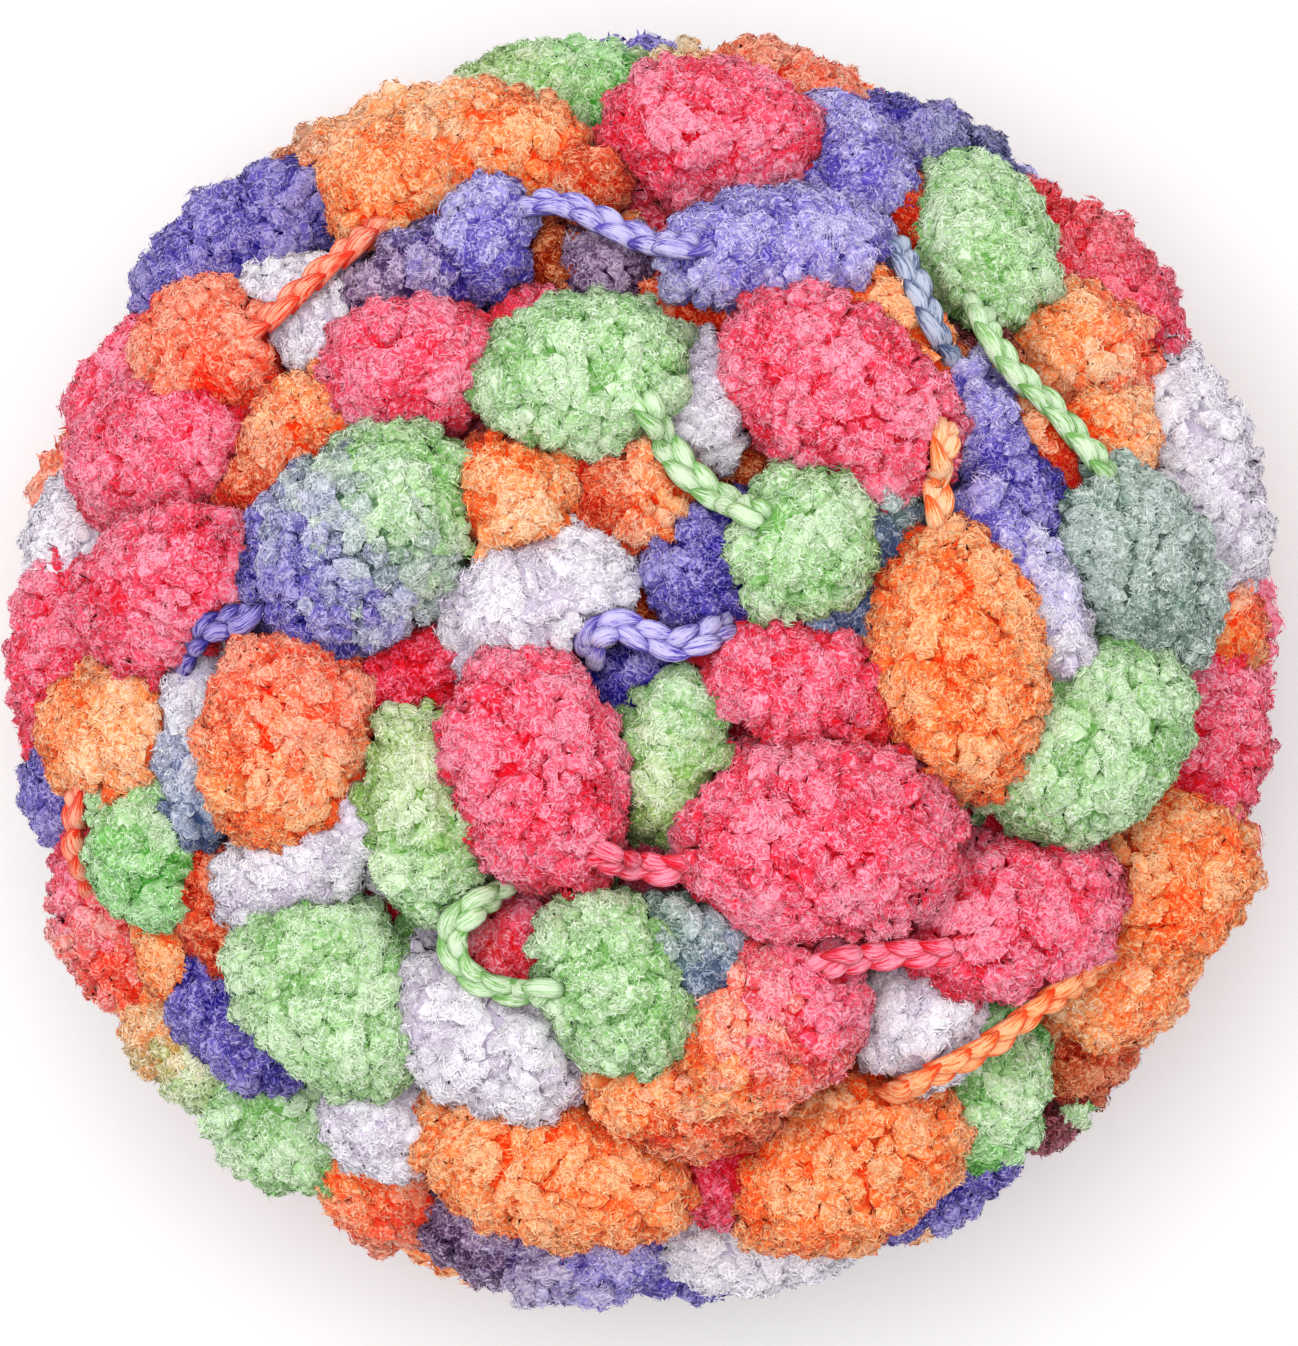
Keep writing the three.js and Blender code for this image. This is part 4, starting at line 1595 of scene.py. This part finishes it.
class Graph:
    """The nodes of one material."""

    def __init__(self, name: str) -> None:
        """Starts an empty material of that name.

        Args:
            name: the material's name.
        """
        self.material = bpy.data.materials.new(name)
        self.material.use_nodes = True
        self.tree = self.material.node_tree
        self.tree.nodes.remove(self.tree.nodes["Principled BSDF"])

    def add(
        self,
        kind: str,
        settings: dict[str, Any] | None = None,
        sockets: dict[str | int, Any] | None = None,
        output: str | int = 0,
    ) -> Signal:
        """Adds a node.

        Args:
            kind: the node's type.
            settings: its own settings, which are set first.
            sockets: what each input takes, a signal or a plain value.
            output: the output that is wanted.

        Returns:
            That output.
        """
        node = self.tree.nodes.new(kind)
        for key, value in (settings or {}).items():
            setattr(node, key, value)
        for key, value in (sockets or {}).items():
            self.feed(self.found(node.inputs, key), value)
        return Signal(self, self.found(node.outputs, output))

    @staticmethod
    def found(sockets: Any, key: str | int) -> bpy.types.NodeSocket:
        """The socket with that place, identifier or name.

        Args:
            sockets: a node's inputs or outputs.
            key: a place, an identifier or a name.

        Returns:
            The socket.
        """
        if isinstance(key, int):
            return sockets[key]
        return next(socket for socket in sockets if key in (socket.identifier, socket.name))

    def feed(self, socket: bpy.types.NodeSocket, value: Any) -> None:
        """Links a signal to an input, or sets the input's value.

        Args:
            socket: the input.
            value: the signal, or a plain value.
        """
        if isinstance(value, Signal):
            self.tree.links.new(value.socket, socket)
        else:
            socket.default_value = value

    def mix(self, share: Any, first: Any, second: Any) -> Signal:
        """A colour between two, as share goes from 0 to 1."""
        sockets = {"Factor_Float": share, "A_Color": first, "B_Color": second}
        return self.add("ShaderNodeMix", {"data_type": "RGBA"}, sockets, "Result_Color")

    def gamma(self, colour: Signal, power: float) -> Signal:
        """A colour with each part raised to a power: deeper over 1, paler under it."""
        return self.add("ShaderNodeGamma", {}, {"Color": colour, "Gamma": power})

    def noise(self, place: Signal, scale: float, detail: float, roughness: float) -> Signal:
        """Uneven grey from 0 to 1 over a place."""
        sockets = {"Vector": place, "Scale": scale, "Detail": detail, "Roughness": roughness}
        return self.add("ShaderNodeTexNoise", {}, sockets, "Fac")

    def curls(self, place: Signal, scale: float, distortion: float, thinness: float) -> Signal:
        """Thin curling lines over a place: 1 on a line and 0 between them.

        Args:
            place: the place.
            scale: how close together the lines lie.
            distortion: how much they curl.
            thinness: how thin they are.

        Returns:
            Grey from 0 to 1.
        """
        sockets = {"Vector": place, "Scale": scale, "Detail": CURL_DETAIL, "Distortion": distortion}
        off = (self.add("ShaderNodeTexNoise", {}, sockets, "Fac") - GREY) * thinness
        return (1.0 - off * off).step(0.0, 1.0)

    def finish(self, sockets: dict[str | int, Any]) -> bpy.types.Material:
        """Ends the material in a surface with those inputs.

        Args:
            sockets: what each input of the surface takes.

        Returns:
            The material.
        """
        surface = self.add("ShaderNodeBsdfPrincipled", {}, sockets, "BSDF")
        self.feed(self.tree.nodes["Material Output"].inputs["Surface"], surface)
        return self.material


@dataclass(frozen=True)
class PileFinish:
    """Dyed fluffy fibre, with painted shade at the roots of the pile as a darker, stronger dye and
    a painted highlight at its tips as a paler one.
    """

    name: str
    roughness: float = 0.95
    sheen: float = 0.08
    sheen_roughness: float = 0.5
    fibre_scale: float = 2.4
    fibre_noise: tuple[float, float] = (4.0, 0.65)
    fibre_share: float = 1.5
    fibre_height: float = 0.8
    crumb_scale: float = 1500.0
    crumb_noise: tuple[float, float] = (3.0, 0.7)
    crumb_share: float = 0.9
    curl_scale: float = 560.0
    curl_distortion: float = 1.4
    curl_thinness: float = 16.0
    curl_level: float = 0.35
    curl_share: float = 0.7
    curl_height: float = 0.5
    bump_distance: float = 0.0002
    bump_strength: float = 0.7
    # The ranges and strengths below set the painted shade at the roots of the pile and the painted
    # highlight at its tips.
    body_range: tuple[float, float] = (0.2, 0.95)
    highlight_start: float = 0.8
    highlight_range: float = 0.8
    shade_strength: float = 2.2
    highlight_strength: float = 0.43

    def build(self) -> bpy.types.Material:
        """Builds the material from each point's tint, which holds the dye and the share of painted
        light, and grain.

        Returns:
            The material.
        """
        graph = Graph(self.name)
        tint = {"attribute_name": "tint", "attribute_type": "GEOMETRY"}
        dye = graph.add("ShaderNodeAttribute", tint, {}, "Color")
        # The fourth number of tint, read here as tip, is the share of painted light.
        tip = graph.add("ShaderNodeAttribute", tint, {}, "Alpha")
        grain_name = {"attribute_name": "grain", "attribute_type": "GEOMETRY"}
        grain = graph.add("ShaderNodeAttribute", grain_name, {}, "Vector")
        place = graph.add("ShaderNodeTexCoord", {}, {}, "Object")
        fibre = graph.noise(grain, self.fibre_scale, *self.fibre_noise)
        crumb = graph.noise(place, self.crumb_scale, *self.crumb_noise)
        curl = graph.curls(place, self.curl_scale, self.curl_distortion, self.curl_thinness)
        # The share of painted light, stirred by the fibre, crumb and curl grain.
        light_and_grain = tip + (fibre - GREY) * self.fibre_share + (crumb - GREY) * self.crumb_share
        light_and_grain = light_and_grain + (curl - self.curl_level) * self.curl_share
        # Painted shade: the dye raised to a power, so it comes out darker and stronger; the body
        # runs from it to the dye.
        shaded_dye = graph.gamma(dye, self.shade_strength)
        body = graph.mix(light_and_grain.step(*self.body_range), shaded_dye, dye)
        # Painted highlight: a paler tint of the dye, laid over the body where the share of painted
        # light is high.
        pale = graph.gamma(dye, self.highlight_strength)
        highlight_end = self.highlight_start + self.highlight_range
        colour = graph.mix(light_and_grain.step(self.highlight_start, highlight_end), body, pale)
        height = fibre * self.fibre_height + crumb + curl * self.curl_height
        bump_sockets = {
            "Strength": self.bump_strength,
            "Distance": self.bump_distance,
            "Height": height,
        }
        normal = graph.add("ShaderNodeBump", {}, bump_sockets, "Normal")
        return graph.finish(
            {
                "Base Color": colour,
                "Roughness": self.roughness,
                "Specular IOR Level": LOW_SHINE,
                "Sheen Weight": self.sheen,
                "Sheen Roughness": self.sheen_roughness,
                "Normal": normal,
            }
        )


# The cords' finish, with its own strength and start of the painted highlight.
CORD_FINISH = PileFinish(
    "cord_fibre",
    highlight_strength=0.46,
    fibre_scale=3.4,
    fibre_share=4.6,
    fibre_height=2.5,
    crumb_share=0.6,
    curl_share=0.0,
    curl_height=0.0,
    highlight_start=0.6,
)


@dataclass(frozen=True)
class Studio:
    """The pale floor, the soft light and the camera over the ball."""

    floor_size: float = 24.0
    floor_colour: tuple[float, float, float, float] = (0.86, 0.86, 0.865, 1.0)
    floor_roughness: float = 0.9
    world_strength: float = 0.86
    key_place: tuple[float, float, float] = (-0.16, 0.2, 1.5)
    key_size: float = 1.1
    key_power: float = 14.0
    key_aim: tuple[float, float, float] = (0.0, 0.0, 0.05)
    camera_place: tuple[float, float, float] = (0.00067, -0.0004, 1.085)
    lens: float = 200.6
    sensor_width: float = 36.0
    clip: tuple[float, float] = (0.05, 20.0)

    def build(self) -> None:
        """Sets the whole stage."""
        self.add_camera()
        self.add_floor()
        self.add_world()
        self.add_key()
        bpy.context.scene.view_settings.view_transform = "Standard"

    def add_camera(self) -> None:
        """The camera, which looks straight down with +Y at the top of the picture."""
        lens = bpy.data.cameras.new("camera")
        lens.lens = self.lens
        lens.sensor_width = self.sensor_width
        lens.clip_start, lens.clip_end = self.clip
        camera = bpy.data.objects.new("camera", lens)
        camera.location = self.camera_place
        bpy.context.collection.objects.link(camera)
        bpy.context.scene.camera = camera

    def add_floor(self) -> None:
        """The plain floor that the ball rests on."""
        half = self.floor_size / 2.0
        corners = [(-half, -half, 0), (half, -half, 0), (half, half, 0), (-half, half, 0)]
        mesh = bpy.data.meshes.new("floor")
        mesh.from_pydata(corners, [], [(0, 1, 2, 3)])
        graph = Graph("floor")
        sockets = {
            "Base Color": self.floor_colour,
            "Roughness": self.floor_roughness,
            "Specular IOR Level": LOW_SHINE,
        }
        mesh.materials.append(graph.finish(sockets))
        floor = bpy.data.objects.new("floor", mesh)
        bpy.context.collection.objects.link(floor)

    def add_world(self) -> None:
        """Even white light from all round."""
        world = bpy.data.worlds.new("studio")
        world.use_nodes = True
        background = world.node_tree.nodes["Background"]
        background.inputs["Color"].default_value = (1.0, 1.0, 1.0, 1.0)
        background.inputs["Strength"].default_value = self.world_strength
        bpy.context.scene.world = world

    def add_key(self) -> None:
        """The soft main light, from the upper left of the picture."""
        lamp = bpy.data.lights.new("key", "AREA")
        lamp.shape = "SQUARE"
        lamp.size = self.key_size
        lamp.energy = self.key_power
        key = bpy.data.objects.new("key", lamp)
        key.location = self.key_place
        aim = Vector(self.key_aim) - Vector(self.key_place)
        key.rotation_mode = "QUATERNION"
        key.rotation_quaternion = aim.to_track_quat("-Z", "Y")
        bpy.context.collection.objects.link(key)


@dataclass
class YarnBall:
    """The whole ball: cords, pile and packed core."""

    winding: Winding = field(default_factory=Winding)

    def build(self) -> None:
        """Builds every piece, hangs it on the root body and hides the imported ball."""
        cords = [
            PlaitedCord(name, dye_named(dye), self.winding, through)
            for name, (dye, through) in TOP_CORDS.items()
        ]
        cord_material = CORD_FINISH.build()
        made = [cord.build(cord_material) for cord in cords]
        made.append(PackedCore(self.winding, PileFinish("core_fibre")).build())
        made.extend(YarnPile(self.winding, cords, PileFinish("pile_fibre")).build())
        for piece in made:
            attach(piece, "root")
            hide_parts("wound_ball")
        total = sum(len(piece.data.polygons) for piece in made)
        LOG.info("%d pieces, %d triangles", len(made), total)


def main() -> None:
    """Builds the ball on its stage."""
    logging.basicConfig(level=logging.INFO, format="%(message)s")
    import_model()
    YarnBall().build()
    Studio().build()


if __name__ == "__main__":
    main()
